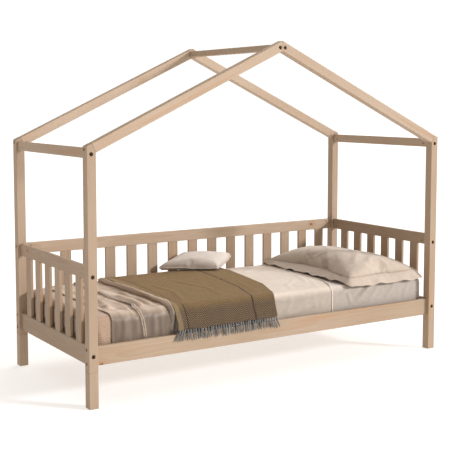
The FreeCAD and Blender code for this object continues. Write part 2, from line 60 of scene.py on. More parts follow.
# ------------------------------------------------------------ node helpers
class Graph:
    """Small helper for writing shader graphs."""

    def __init__(self, name):
        self.mat = bpy.data.materials.new(name)
        self.mat.use_nodes = True
        self.nt = self.mat.node_tree
        self.nt.nodes.clear()
        self.out = self.node("ShaderNodeOutputMaterial")
        self.bsdf = self.node("ShaderNodeBsdfPrincipled")
        self.nt.links.new(self.bsdf.outputs[0], self.out.inputs[0])

    def node(self, kind, **kw):
        n = self.nt.nodes.new(kind)
        for k, v in kw.items():
            setattr(n, k, v)
        return n

    def put(self, value, socket):
        if isinstance(value, bpy.types.NodeSocket):
            self.nt.links.new(value, socket)
        else:
            socket.default_value = value

    def m(self, op, a, b=0.5, c=0.5, clamp=False):
        n = self.node("ShaderNodeMath", operation=op, use_clamp=clamp)
        self.put(a, n.inputs[0])
        self.put(b, n.inputs[1])
        self.put(c, n.inputs[2])
        return n.outputs[0]

    def dot(self, a, vec):
        n = self.node("ShaderNodeVectorMath", operation="DOT_PRODUCT")
        self.put(a, n.inputs[0])
        self.put(vec, n.inputs[1])
        return n.outputs["Value"]

    def vec(self, x, y, z):
        n = self.node("ShaderNodeCombineXYZ")
        self.put(x, n.inputs[0])
        self.put(y, n.inputs[1])
        self.put(z, n.inputs[2])
        return n.outputs[0]

    def vadd(self, a, b):
        n = self.node("ShaderNodeVectorMath", operation="ADD")
        self.put(a, n.inputs[0])
        self.put(b, n.inputs[1])
        return n.outputs[0]

    def vmul(self, a, b):
        n = self.node("ShaderNodeVectorMath", operation="MULTIPLY")
        self.put(a, n.inputs[0])
        self.put(b, n.inputs[1])
        return n.outputs[0]

    def sep(self, v):
        n = self.node("ShaderNodeSeparateXYZ")
        self.put(v, n.inputs[0])
        return n.outputs[0], n.outputs[1], n.outputs[2]

    def noise(self, v, scale=1.0, detail=2.0, rough=0.5, dist=0.0):
        n = self.node("ShaderNodeTexNoise")
        self.put(v, n.inputs["Vector"])
        n.inputs["Scale"].default_value = scale
        n.inputs["Detail"].default_value = detail
        n.inputs["Roughness"].default_value = rough
        n.inputs["Distortion"].default_value = dist
        return n.outputs["Fac"]

    def step(self, x, lo, hi):
        """Smooth rise of x from lo to hi."""
        n = self.node("ShaderNodeMapRange", interpolation_type="SMOOTHSTEP")
        self.put(x, n.inputs["Value"])
        self.put(lo, n.inputs["From Min"])
        self.put(hi, n.inputs["From Max"])
        return n.outputs["Result"]

    def span(self, x, lo, hi, a, b):
        n = self.node("ShaderNodeMapRange")
        self.put(x, n.inputs["Value"])
        self.put(lo, n.inputs["From Min"])
        self.put(hi, n.inputs["From Max"])
        self.put(a, n.inputs["To Min"])
        self.put(b, n.inputs["To Max"])
        return n.outputs["Result"]

    def mix(self, f, a, b, blend="MIX"):
        n = self.node("ShaderNodeMix", data_type="RGBA", blend_type=blend)
        self.put(f, n.inputs[0])
        self.put(a, n.inputs[6])
        self.put(b, n.inputs[7])
        return n.outputs[2]

    def obj(self):
        return self.node("ShaderNodeTexCoord").outputs["Object"]

    def uv(self, name="cloth"):
        return self.node("ShaderNodeUVMap", uv_map=name).outputs[0]

    def bump(self, height, strength, distance, after=None):
        n = self.node("ShaderNodeBump")
        self.put(height, n.inputs["Height"])
        n.inputs["Strength"].default_value = strength
        n.inputs["Distance"].default_value = distance
        if after is not None:
            self.put(after, n.inputs["Normal"])
        return n.outputs[0]

    def set(self, **kw):
        for k, v in kw.items():
            self.put(v, self.bsdf.inputs[k.replace("_", " ")])
        return self.mat


# -------------------------------------------------------------------- pine
AXES = {
    "x": ((0, 1, 0), (0, 0, 1), (1, 0, 0)),
    "y": ((1, 0, 0), (0, 0, 1), (0, 1, 0)),
    "z": ((1, 0, 0), (0, 1, 0), (0, 0, 1)),
    "foot": ((-math.sin(SLOPE), 0, math.cos(SLOPE)), (0, 1, 0), (math.cos(SLOPE), 0, math.sin(SLOPE))),
    "head": ((math.sin(SLOPE), 0, math.cos(SLOPE)), (0, 1, 0), (-math.cos(SLOPE), 0, math.sin(SLOPE))),
}


def pine(name, axis, centre, seed, pith=(0.05, 0.03), many=None, ring=0.0052, tone=0.0, knots=0.55):
    """Planed, unfinished pine. centre is a point on the board's heart line,
    many = (direction, pitch, start) for a node that holds a row of boards."""
    g = Graph(name)
    rng = np.random.default_rng(seed)
    P = g.obj()
    U, V, W = AXES[axis]
    rand = tuple(float(x) for x in rng.uniform(-40, 40, 3))
    if many:
        direction, pitch, start = many
        t = g.m("DIVIDE", g.m("SUBTRACT", g.dot(P, direction), start), pitch)
        idx = g.m("FLOOR", g.m("ADD", t, 0.5))
        wn = g.node("ShaderNodeTexWhiteNoise", noise_dimensions="1D")
        g.put(g.m("ADD", idx, rand[0]), wn.inputs["W"])
        shade = wn.outputs["Value"]
        jump = g.vmul(wn.outputs["Color"], (7.0, 9.0, 11.0))
        along = g.m("MULTIPLY", idx, pitch)
    else:
        jump, shade, along = (0.0, 0.0, 0.0), float(rng.uniform(0, 1)), 0.0
    c = Vector(centre)
    uc, vc = c.dot(Vector(U)), c.dot(Vector(V))
    u = g.m("SUBTRACT", g.dot(P, U), uc)
    v = g.m("SUBTRACT", g.dot(P, V), vc)
    if many:
        du, dv = Vector(direction).dot(Vector(U)), Vector(direction).dot(Vector(V))
        if abs(du) > 0.5:
            u = g.m("SUBTRACT", u, along)
        elif abs(dv) > 0.5:
            v = g.m("SUBTRACT", v, along)
    w = g.dot(P, W)
    base = g.vadd(g.vec(u, v, w), g.vadd(rand, jump))
    bu, bv, bw = g.sep(base)

    # knots: branches that grew outwards across the board
    SX, SW = 10.0, 2.7
    q = g.vec(g.m("MULTIPLY", bu, SX), g.m("MULTIPLY", bv, SX), g.m("MULTIPLY", bw, SW))
    vor = g.node("ShaderNodeTexVoronoi", feature="F1", voronoi_dimensions="3D")
    g.put(q, vor.inputs["Vector"])
    vor.inputs["Scale"].default_value = 1.0
    vor.inputs["Randomness"].default_value = 1.0
    qu, qv, qw = g.sep(q)
    ku, kv, kw = g.sep(vor.outputs["Position"])
    cr, cg, cb = g.sep(vor.outputs["Color"])
    du = g.m("MULTIPLY", g.m("SUBTRACT", qu, ku), 0.40 / SX)
    dv = g.m("DIVIDE", g.m("SUBTRACT", qv, kv), SX)
    dw = g.m("DIVIDE", g.m("SUBTRACT", qw, kw), SW * 1.25)
    near = g.node("ShaderNodeVectorMath", operation="LENGTH")
    g.put(g.vec(du, dv, dw), near.inputs[0])
    wob = g.noise(g.vmul(base, (60.0, 60.0, 60.0)), 1.0, 2.0)
    dist = g.m("ADD", near.outputs["Value"], g.m("MULTIPLY", g.m("SUBTRACT", wob, 0.5), 0.004))
    has = g.m("LESS_THAN", cg, knots)
    size = g.m("MULTIPLY", has, g.span(cr, 0.0, 1.0, 0.0025, 0.0085))
    knot = g.m("MULTIPLY", has, g.m("SUBTRACT", 1.0, g.step(dist, g.m("MULTIPLY", size, 0.75), g.m("MULTIPLY", size, 1.08))))
    halo = g.m("MULTIPLY", has, g.m("SUBTRACT", 1.0, g.step(dist, g.m("MULTIPLY", size, 0.8), g.m("MULTIPLY", size, 4.2))))

    # growth rings round a pith outside or inside the board, wandering along it
    slow = g.noise(g.vmul(base, (5.0, 5.0, 1.1)), 1.0, 2.0, 0.55)
    fine = g.noise(g.vmul(base, (26.0, 26.0, 3.2)), 1.0, 2.0, 0.5)
    pu, pv = pith[0] * (1 if rng.uniform() > 0.5 else -1), pith[1] * (1 if rng.uniform() > 0.5 else -1)
    rad = g.node("ShaderNodeVectorMath", operation="LENGTH")
    g.put(g.vec(g.m("SUBTRACT", u, pu), g.m("SUBTRACT", v, pv), 0.0), rad.inputs[0])
    r = g.m("ADD", rad.outputs["Value"], g.m("MULTIPLY", g.m("SUBTRACT", slow, 0.5), 0.052))
    r = g.m("ADD", r, g.m("MULTIPLY", g.m("SUBTRACT", fine, 0.5), 0.0045))
    r = g.m("ADD", r, g.m("MULTIPLY", halo, 0.0075))
    ph = g.m("FRACT", g.m("ADD", g.m("DIVIDE", r, ring), 40.0))
    late = g.m("MULTIPLY", g.step(ph, 0.25, 0.88), g.m("SUBTRACT", 1.0, g.step(ph, 0.90, 1.0)))
    fade = g.noise(g.vmul(base, (9.0, 9.0, 1.7)), 1.0, 1.0)
    late = g.m("MULTIPLY", late, g.span(fade, 0.3, 0.7, 0.25, 1.0))

    fibre = g.noise(g.vmul(base, (620.0, 620.0, 9.0)), 1.0, 3.0, 0.6)
    pore = g.noise(g.vmul(base, (330.0, 330.0, 5.0)), 1.0, 2.0, 0.5)
    cloud = g.noise(g.vmul(base, (7.0, 7.0, 2.0)), 1.0, 3.0, 0.6)
    resin = g.noise(g.vmul(base, (22.0, 22.0, 1.25)), 1.0, 2.0, 0.5)

    light = srgb(193 + tone, 170 + tone, 147 + tone)
    mid = srgb(183 + tone, 158 + tone, 133 + tone)
    dark = srgb(167 + tone, 136 + tone, 103 + tone)
    col = g.mix(g.span(cloud, 0.3, 0.7, 0.0, 1.0), light, mid)
    col = g.mix(g.m("MULTIPLY", late, 0.40), col, dark)
    col = g.mix(g.m("MULTIPLY", g.step(resin, 0.56, 0.72), 0.36), col, srgb(190, 140, 98))
    col = g.mix(g.m("MULTIPLY", g.step(pore, 0.60, 0.74), 0.16), col, srgb(156, 114, 78))
    col = g.mix(g.m("MULTIPLY", halo, 0.36), col, srgb(184, 136, 92))
    kring = g.m("FRACT", g.m("DIVIDE", dist, 0.0016))
    kcol = g.mix(kring, srgb(138, 92, 58), srgb(162, 114, 76))
    col = g.mix(knot, col, kcol)
    val = g.m("ADD", g.span(fibre, 0.25, 0.75, 0.955, 1.03), g.m("MULTIPLY", g.m("SUBTRACT", shade, 0.5), 0.10))
    hsv = g.node("ShaderNodeHueSaturation")
    g.put(g.m("MULTIPLY", val, 0.765), hsv.inputs["Value"])
    hsv.inputs["Saturation"].default_value = 1.07
    g.put(col, hsv.inputs["Color"])
    rough = g.span(fibre, 0.2, 0.8, 0.50, 0.66)
    h = g.m("ADD", g.m("MULTIPLY", fibre, 0.6), g.m("MULTIPLY", late, 0.5))
    h = g.m("ADD", h, g.m("MULTIPLY", knot, 0.8))
    nrm = g.bump(h, 0.35, 0.0004)
    g.set(Base_Color=hsv.outputs[0], Roughness=rough, Normal=nrm)
    g.bsdf.inputs["Specular IOR Level"].default_value = 0.35
    return g.mat


def give(node, mat):
    o = NODES[node]
    o.data.materials.clear()
    o.data.materials.append(mat)


XC, YC = 1.0175, 0.4295
seed = 11
for en, e in (("foot", -1), ("head", 1)):
    for sn, s in (("front", -1), ("back", 1)):
        seed += 1
        give("post_%s_%s" % (en, sn), pine("pine_post_%s_%s" % (en, sn), "z", (e * XC, s * YC, 0), seed,
                                          (0.030, 0.012), ring=0.0050))
        give("leg_%s_%s" % (en, sn), pine("pine_leg_%s_%s" % (en, sn), "z", (e * XC, s * YC, 0), seed + 40,
                                         (0.016, 0.034), ring=0.0046))
        mid = (e * 0.5, s * YC, 1.655 - 0.4683 * 0.5 - 0.025)
        # tone=16 on the rafters is painted light: they are coloured lighter than the other boards
        give("rafter_%s_%s" % (sn, en), pine("pine_rafter_%s_%s" % (sn, en), en, mid, seed + 80,
                                            (0.026, 0.020), ring=0.0050, tone=16))
    give("eave_beam_" + en, pine("pine_eave_" + en, "y", (e * 1.018, 0, 1.1375), seed + 120, (0.020, 0.040)))
    # the negative tone on the end panels' rails and balusters is painted shade: they are coloured darker than the other
    # boards
    give(en + "_end_bottom_rail", pine("pine_endb_" + en, "y", (e * XC, 0, 0.234), seed + 130, (0.055, 0.010), tone=-10))
    give(en + "_end_top_rail", pine("pine_endt_" + en, "y", (e * XC, 0, 0.607), seed + 140, (0.050, 0.014), tone=-10))
    give(en + "_end_balusters", pine("pine_bal_" + en, "z", (e * XC, 0.06125, 0), seed + 150, (0.045, 0.012),
                                     many=((0, 1, 0), 0.1225, 0.06125), tone=-8, knots=0.4))
give("ridge_beam", pine("pine_ridge", "y", (0, 0, 1.624), 201, (0.012, 0.050)))
give("side_rail_front", pine("pine_side_front", "x", (0, -0.424, 0.234), 207, (0.060, 0.006), knots=0.5, ring=0.006))
give("side_rail_back", pine("pine_side_back", "x", (0, 0.435, 0.234), 208, (0.060, 0.012)))
# tone=16 on the guard top rail is painted light: it is coloured lighter than the other boards
give("guard_top_rail", pine("pine_guard_top", "x", (0, 0.435, 0.607), 209, (0.050, 0.010), tone=16))
give("guard_balusters", pine("pine_guard_bal", "z", (0.008, 0.435, 0), 210, (0.012, 0.045),
                             many=((1, 0, 0), 0.1293, 0.008), knots=0.4))
give("slat_cleat_front", pine("pine_cleat_f", "x", (0, -0.402, 0.208), 221, (0.03, 0.02)))
give("slat_cleat_back", pine("pine_cleat_b", "x", (0, 0.413, 0.208), 222, (0.03, 0.02)))
give("slats", pine("pine_slats", "y", (0, 0, 0.229), 223, (0.010, 0.050), many=((1, 0, 0), 1.8 / 14, 0.0)))


def steel(name, c1, c2, c3):
    g = Graph(name)
    P = g.obj()
    n = g.noise(P, 900.0, 3.0, 0.6)
    n2 = g.noise(g.vmul(P, (4000.0, 300.0, 300.0)), 1.0, 2.0, 0.6)
    col = g.mix(n, c1, c2)
    col = g.mix(g.m("MULTIPLY", g.step(g.noise(P, 140.0, 3.0), 0.58, 0.75), 0.35), col, c3)
    g.set(Base_Color=col, Roughness=g.span(n, 0.2, 0.8, 0.28, 0.5), Normal=g.bump(n2, 0.15, 0.0002))
    g.bsdf.inputs["Metallic"].default_value = 1.0
    return g.mat


zinc = steel("zinc_steel", srgb(140, 136, 129), srgb(168, 163, 154), srgb(150, 138, 108))
for n in ("barrel_nuts", "leg_studs", "slat_screws", "cleat_screws"):
    give(n, zinc)
black = steel("black_steel", srgb(52, 44, 38), srgb(78, 68, 60), srgb(98, 78, 58))
for n in ("bolts_m6x70", "bolts_m6x55"):
    give(n, black)


def beech():
    g = Graph("beech_dowel")
    P = g.obj()
    n = g.noise(g.vmul(P, (700.0, 700.0, 700.0)), 1.0, 2.0)
    f = g.noise(g.vmul(P, (120.0, 500.0, 500.0)), 1.0, 2.0)
    col = g.mix(n, srgb(206, 170, 128), srgb(186, 142, 100))
    col = g.mix(g.m("MULTIPLY", g.step(f, 0.55, 0.7), 0.4), col, srgb(150, 106, 72))
    g.set(Base_Color=col, Roughness=0.55, Normal=g.bump(f, 0.3, 0.0003))
    return g.mat


give("dowels", beech())


# ------------------------------------------------------------ cloth finishes
def weave(name, c1, c2, pitch=0.0011, rough=0.85, bump=0.25, slub=0.25, sheen=0.15, space="obj", bend=0.004, side=0.0):
    """Plain weave: two thread directions that show as fine relief, slubs and a slow change of shade; side paints shade
    onto the cloth that hangs down the bed's sides.
    """
    g = Graph(name)
    P = g.uv() if space == "uv" else g.obj()
    x, y, z = g.sep(P)
    if space == "uv":
        a, b = x, y
    else:
        a, b = g.m("ADD", x, g.m("MULTIPLY", z, 0.31)), g.m("ADD", y, g.m("MULTIPLY", z, 0.95))
    k = 2 * math.pi / pitch
    s1 = g.m("SINE", g.m("MULTIPLY", a, k))
    s2 = g.m("SINE", g.m("MULTIPLY", b, k))
    wv = g.m("MULTIPLY", s1, s2)
    yarn = g.noise(g.vmul(P, (60.0, 900.0, 500.0)), 1.0, 3.0, 0.6)
    yarn2 = g.noise(g.vmul(P, (900.0, 60.0, 500.0)), 1.0, 3.0, 0.6)
    cloud = g.noise(P, 6.0, 3.0, 0.6)
    mott = g.noise(P, 55.0, 2.0, 0.5)
    f = g.m("ADD", g.m("MULTIPLY", cloud, 0.6), g.m("MULTIPLY", mott, 0.4))
    col = g.mix(g.span(f, 0.35, 0.65, 0.0, 1.0), c1, c2)
    tone = g.m("ADD", g.m("MULTIPLY", yarn, 0.5), g.m("MULTIPLY", yarn2, 0.5))
    hsv = g.node("ShaderNodeHueSaturation")
    val = g.span(tone, 0.35, 0.65, 1.0 - 0.12 * slub, 1.0 + 0.10 * slub)
    if side:
        # painted shade: cloth that hangs down the side of the bed, below z 0.368–0.400 in object space, is darkened by
        # the side amount
        low = g.m("SUBTRACT", 1.0, g.step(g.sep(g.obj())[2], 0.368, 0.400))
        val = g.m("MULTIPLY", val, g.m("SUBTRACT", 1.0, g.m("MULTIPLY", low, side)))
    g.put(val, hsv.inputs["Value"])
    g.put(col, hsv.inputs["Color"])
    crease = g.noise(P, 24.0, 2.0, 0.5, 0.6)
    n0 = g.bump(crease, 0.5, bend)
    h = g.m("ADD", g.m("MULTIPLY", wv, 0.5), g.m("MULTIPLY", tone, 0.8))
    nrm = g.bump(h, bump, 0.0005, n0)
    g.set(Base_Color=hsv.outputs[0], Roughness=g.span(tone, 0.2, 0.8, rough - 0.05, rough + 0.05), Normal=nrm)
    g.bsdf.inputs["Sheen Weight"].default_value = sheen
    g.bsdf.inputs["Sheen Roughness"].default_value = 0.5
    g.bsdf.inputs["Specular IOR Level"].default_value = 0.2
    return g.mat


def ribbed():
    """Under blanket: fine ribs that run slantwise, peach."""
    g = Graph("peach_rib")
    P = g.obj()
    x, y, z = g.sep(P)
    wob = g.noise(P, 12.0, 2.0)
    t = g.m("ADD", g.m("MULTIPLY", x, 0.35), g.m("ADD", z, g.m("MULTIPLY", y, 0.55)))
    t = g.m("ADD", t, g.m("MULTIPLY", wob, 0.006))
    s = g.m("SINE", g.m("MULTIPLY", t, 2 * math.pi / 0.0085))
    s01 = g.m("ADD", g.m("MULTIPLY", s, 0.5), 0.5)
    nz = g.noise(P, 420.0, 3.0, 0.6)
    col = g.mix(s01, srgb(158, 130, 109), srgb(176, 151, 130))
    col = g.mix(g.m("MULTIPLY", g.noise(P, 9.0, 2.0), 0.5), col, srgb(166, 139, 119))
    # stitched tufts along the foot end, their hollows darkened as painted shade
    idx = g.m("FRACT", g.m("DIVIDE", g.m("ADD", y, 0.0044), 0.06125))
    dy = g.m("MULTIPLY", g.m("SUBTRACT", idx, 0.5), 0.06125)
    dz = g.m("SUBTRACT", z, g.m("ADD", 0.372, g.m("MULTIPLY", g.m("SUBTRACT", wob, 0.5), 0.02)))
    d = g.node("ShaderNodeVectorMath", operation="LENGTH")
    g.put(g.vec(g.m("MULTIPLY", dy, 0.5), dz, 0.0), d.inputs[0])
    tuft_painted_shade = g.m("MULTIPLY", g.m("SUBTRACT", 1.0, g.step(d.outputs["Value"], 0.003, 0.0095)), g.m("LESS_THAN", x, -0.99))
    col = g.mix(g.m("MULTIPLY", tuft_painted_shade, 0.85), col, srgb(92, 70, 58))
    h = g.m("ADD", g.m("MULTIPLY", s01, 1.0), g.m("MULTIPLY", nz, 0.25))
    g.set(Base_Color=col, Roughness=g.span(nz, 0.2, 0.8, 0.75, 0.92), Normal=g.bump(h, 0.55, 0.0018))
    g.bsdf.inputs["Sheen Weight"].default_value = 0.25
    g.bsdf.inputs["Specular IOR Level"].default_value = 0.2
    return g.mat


def satin():
    """Coverlet: dense satin with a soft lustre, taupe, short floats along the cloth."""
    g = Graph("taupe_satin")
    U = g.uv()
    u, v, _ = g.sep(U)
    fl = g.noise(g.vmul(U, (900.0, 110.0, 1.0)), 1.0, 3.0, 0.6)
    rib = g.m("SINE", g.m("MULTIPLY", u, 2 * math.pi / 0.0024))
    cloud = g.noise(g.vmul(U, (16.0, 4.0, 1.0)), 1.0, 3.0, 0.6, 0.4)
    band = g.noise(g.vmul(U, (34.0, 2.5, 1.0)), 1.0, 2.0, 0.5)
    col = g.mix(g.span(cloud, 0.35, 0.65, 0.0, 1.0), srgb(176, 152, 130), srgb(203, 180, 157))
    col = g.mix(g.span(band, 0.45, 0.7, 0.0, 0.5), col, srgb(132, 112, 95))
    hsv = g.node("ShaderNodeHueSaturation")
    # painted shade: the front drop, cloth coordinate v under 0.10–0.17 from the front hem, is darkened by up to 0.65
    drop_painted_shade = g.m("SUBTRACT", 1.0, g.step(v, 0.10, 0.17))
    g.put(g.m("MULTIPLY", g.span(fl, 0.3, 0.7, 0.94, 1.05), g.m("SUBTRACT", 1.0, g.m("MULTIPLY", drop_painted_shade, 0.65))), hsv.inputs["Value"])
    g.put(col, hsv.inputs["Color"])
    soft = g.noise(g.vmul(U, (30.0, 9.0, 1.0)), 1.0, 2.0, 0.5, 0.5)
    n0 = g.bump(soft, 0.6, 0.006)
    h = g.m("ADD", g.m("MULTIPLY", rib, 0.4), fl)
    g.set(Base_Color=hsv.outputs[0], Roughness=g.span(cloud, 0.3, 0.7, 0.40, 0.55), Normal=g.bump(h, 0.3, 0.0006, n0))
    g.bsdf.inputs["Sheen Weight"].default_value = 0.18
    g.bsdf.inputs["Sheen Roughness"].default_value = 0.35
    g.bsdf.inputs["Specular IOR Level"].default_value = 0.38
    g.bsdf.inputs["Anisotropic"].default_value = 0.4
    return g.mat


def herring():
    """Throw: herringbone twill in brown and olive, darker and greyer where it hangs down the front as painted shade, a
    tan border with two dark stripes at each side.
    """
    g = Graph("throw_weave")
    U = g.uv()
    u, v, _ = g.sep(U)
    wob = g.noise(U, 14.0, 2.0)
    uu = g.m("ADD", u, g.m("MULTIPLY", g.m("SUBTRACT", wob, 0.5), 0.010))
    W, PITCH = 0.0150, 0.0098
    fr = g.m("FRACT", g.m("DIVIDE", uu, 2 * W))
    tri = g.m("MULTIPLY", g.m("ABSOLUTE", g.m("SUBTRACT", fr, 0.5)), 2 * W)
    ph = g.m("DIVIDE", g.m("ADD", v, g.m("MULTIPLY", tri, 0.95)), PITCH)
    zz = g.m("SINE", g.m("MULTIPLY", ph, 2 * math.pi))
    z01 = g.m("ADD", g.m("MULTIPLY", zz, 0.5), 0.5)
    soft = g.step(z01, 0.25, 0.75)
    fuzz = g.noise(U, 260.0, 3.0, 0.65)
    patch = g.noise(U, 9.0, 2.0, 0.5)
    brown = g.mix(g.span(patch, 0.35, 0.65, 0.0, 1.0), srgb(90, 65, 38), srgb(101, 78, 44))
    light = g.mix(g.span(patch, 0.35, 0.65, 0.0, 1.0), srgb(158, 126, 84), srgb(147, 120, 77))
    top = g.mix(soft, brown, light)
    # painted shade: darker, greyer colours for the front drop, cloth coordinate v under 0.070–0.150 from the front hem
    grey = g.mix(soft, srgb(56, 42, 30), srgb(120, 101, 79))
    low = g.m("SUBTRACT", 1.0, g.step(v, 0.070, 0.150))
    col = g.mix(low, top, grey)
    # the border along the side at the foot and the stripes
    edge = g.m("SUBTRACT", 1.0, g.step(u, 0.020, 0.030))
    col = g.mix(g.m("MULTIPLY", edge, 0.35), col, srgb(170, 148, 112))
    for at in (0.054, 0.452):
        d = g.m("ABSOLUTE", g.m("SUBTRACT", uu, at))
        line = g.m("SUBTRACT", 1.0, g.step(d, 0.0028, 0.0062))
        col = g.mix(g.m("MULTIPLY", line, 0.88), col, srgb(56, 41, 31))
    hsv = g.node("ShaderNodeHueSaturation")
    g.put(g.span(fuzz, 0.3, 0.7, 0.82, 1.10), hsv.inputs["Value"])
    g.put(col, hsv.inputs["Color"])
    big = g.noise(U, 20.0, 2.0)
    n0 = g.bump(big, 0.4, 0.006)
    h = g.m("ADD", g.m("MULTIPLY", soft, 0.9), g.m("MULTIPLY", fuzz, 0.8))
    g.set(Base_Color=hsv.outputs[0], Roughness=g.span(fuzz, 0.2, 0.8, 0.82, 0.97), Normal=g.bump(h, 0.7, 0.0022, n0))
    g.bsdf.inputs["Sheen Weight"].default_value = 0.06
    g.bsdf.inputs["Specular IOR Level"].default_value = 0.12
    return g.mat


def yarn():
    """Fringe: twisted wool, grey-blue to light grey from strand to strand."""
    g = Graph("throw_yarn")
    U = g.uv()
    u, v, _ = g.sep(U)
    P = g.obj()
    tw = g.m("SINE", g.m("ADD", g.m("MULTIPLY", v, 2 * math.pi / 0.006), g.m("MULTIPLY", u, 6.283)))
    tw01 = g.m("ADD", g.m("MULTIPLY", tw, 0.5), 0.5)
    x, y, z = g.sep(P)
    n = g.noise(g.vec(x, 0.0, 0.0), 75.0, 1.0)
    fz = g.noise(P, 700.0, 2.0, 0.6)
    col = g.mix(g.span(n, 0.35, 0.65, 0.0, 1.0), srgb(82, 81, 78), srgb(132, 128, 121))
    # painted shade: the colour darkens in the grooves of the twist
    col = g.mix(g.m("MULTIPLY", g.m("SUBTRACT", 1.0, tw01), 0.6), col, srgb(50, 50, 50))
    hsv = g.node("ShaderNodeHueSaturation")
    g.put(g.span(fz, 0.3, 0.7, 0.86, 1.1), hsv.inputs["Value"])
    g.put(col, hsv.inputs["Color"])
    g.set(Base_Color=hsv.outputs[0], Roughness=g.span(fz, 0.2, 0.8, 0.8, 0.95), Normal=g.bump(g.m("ADD", tw01, fz), 0.6, 0.0008))
    g.bsdf.inputs["Sheen Weight"].default_value = 0.3
    return g.mat


def ticking():
    """Mattress cover: quilted jersey with a diamond stitch."""
    g = Graph("mattress_ticking")
    P = g.obj()
    x, y, z = g.sep(P)
    k = 2 * math.pi / 0.11
    a = g.m("ABSOLUTE", g.m("SINE", g.m("MULTIPLY", g.m("ADD", x, y), k / 2)))
    b = g.m("ABSOLUTE", g.m("SINE", g.m("MULTIPLY", g.m("SUBTRACT", x, y), k / 2)))
    q = g.m("MINIMUM", a, b)
    st = g.step(q, 0.02, 0.30)
    knit = g.noise(g.vmul(P, (500.0, 900.0, 700.0)), 1.0, 2.0, 0.6)
    # dark stitch thread, and beside it painted shade: the colour darkens towards each stitch line, where the quilting
    # dips
    col = g.mix(st, srgb(206, 198, 186), srgb(236, 231, 222))
    col = g.mix(g.m("MULTIPLY", knit, 0.25), col, srgb(214, 206, 194))
    h = g.m("ADD", g.m("MULTIPLY", st, 4.0), g.m("MULTIPLY", knit, 0.4))
    g.set(Base_Color=col, Roughness=g.span(knit, 0.2, 0.8, 0.8, 0.92), Normal=g.bump(h, 0.6, 0.0015))
    return g.mat


# side= paints shade onto the sheets where they hang down the bed's sides
M_SHEET = weave("sheet_cotton", srgb(209, 196, 184), srgb(200, 186, 172), rough=0.82, slub=0.5, bend=0.004, side=0.33)
M_TOPSHEET = weave("top_sheet_cotton", srgb(213, 198, 182), srgb(204, 188, 171), rough=0.82, slub=0.5, bend=0.004, side=0.36)
M_PEACH = ribbed()
M_SATIN = satin()
M_CORD = weave("satin_cord", srgb(176, 157, 138), srgb(158, 138, 119), pitch=0.003, rough=0.5, slub=0.8, sheen=0.4, bend=0.002)
M_THROW = herring()
M_YARN = yarn()
# painted highlight: the turned hem is coloured lighter than the top sheet it belongs to
M_HEM_PAINTED_HIGHLIGHT = weave("sheet_hem_cotton_painted_highlight", srgb(228, 216, 203), srgb(220, 206, 192), rough=0.8, slub=0.4, bend=0.001)
M_PILLOW = weave("pillow_cotton", srgb(197, 180, 164), srgb(188, 171, 154), rough=0.8, slub=0.5, bend=0.005)
M_CUSHION = weave("cushion_linen", srgb(203, 192, 182), srgb(193, 180, 168), pitch=0.0016, rough=0.85, slub=0.8, bend=0.003)
M_TICK = ticking()


# ---------------------------------------------------------------- mesh tools
RNG = np.random.default_rng(4145)
TABLE = RNG.random((64, 64))


def vnoise(x, y, k=0):
    """Smooth noise from 0 to 1 on arrays."""
    x = np.asarray(x, float) + 17.3 * k
    y = np.asarray(y, float) + 9.7 * k
    xi, yi = np.floor(x).astype(int), np.floor(y).astype(int)
    fx, fy = x - xi, y - yi
    fx, fy = fx * fx * (3 - 2 * fx), fy * fy * (3 - 2 * fy)
    a = TABLE[xi % 64, yi % 64]
    b = TABLE[(xi + 1) % 64, yi % 64]
    c = TABLE[xi % 64, (yi + 1) % 64]
    d = TABLE[(xi + 1) % 64, (yi + 1) % 64]
    return (a * (1 - fx) + b * fx) * (1 - fy) + (c * (1 - fx) + d * fx) * fy


def smooth(t, a, b):
    t = np.clip((np.asarray(t, float) - a) / (b - a), 0, 1)
    return t * t * (3 - 2 * t)


def to_line(P, pts):
    """Distance from points P (...,3) to a polyline, and how far along it (0..1)."""
    best = np.full(P.shape[:-1], 1e9)
    along = np.zeros(P.shape[:-1])
    n = len(pts) - 1
    for i in range(n):
        a, b = np.array(pts[i], float), np.array(pts[i + 1], float)
        ab = b - a
        t = np.clip(((P - a) @ ab) / (ab @ ab), 0, 1)
        d = np.linalg.norm(P - a - t[..., None] * ab, axis=-1)
        near = d < best
        best = np.where(near, d, best)
        along = np.where(near, (i + t) / n, along)
    return best, along


def crease(P, pts, height, width, groove=0.35):
    """A raised fold along a polyline, with the hollow on both sides of it, fading out at its ends."""
    d, t = to_line(P, pts)
    fade = smooth(t, 0.0, 0.18) * smooth(1 - t, 0.0, 0.18)
    return height * fade * (np.exp(-(d / width) ** 2) - groove * np.exp(-((d - 2.1 * width) / (0.9 * width)) ** 2))


def add(name, verts, faces, mat, uv=None, body=None):
    me = bpy.data.meshes.new(name)
    me.from_pydata([tuple(v) for v in verts], [], [tuple(f) for f in faces])
    me.materials.append(mat)
    if uv is not None:
        layer = me.uv_layers.new(name="cloth")
        idx = np.empty(len(me.loops), dtype=np.int32)
        me.loops.foreach_get("vertex_index", idx)
        layer.data.foreach_set("uv", np.asarray(uv, float)[idx].ravel())
    me.shade_smooth()
    me.update()
    ob = bpy.data.objects.new(name, me)
    COL.objects.link(ob)
    return ob


def normals(P):
    dx, ds = np.gradient(P, axis=0), np.gradient(P, axis=1)
    N = np.cross(dx, ds)
    return N / np.maximum(np.linalg.norm(N, axis=-1, keepdims=True), 1e-9)


def with_rim(a, b, step, h):
    """Samples from a to b, closer together at both ends so that a rim can be rounded."""
    n = max(4, int(round((b - a) / step)))
    inner = np.linspace(a, b, n + 1)[1:-1]
    near = np.array([0.0, 0.12, 0.45, 1.0]) * h
    return np.unique(np.concatenate([a + near, inner[(inner > a + 1.5 * h) & (inner < b - 1.5 * h)], b - near]))


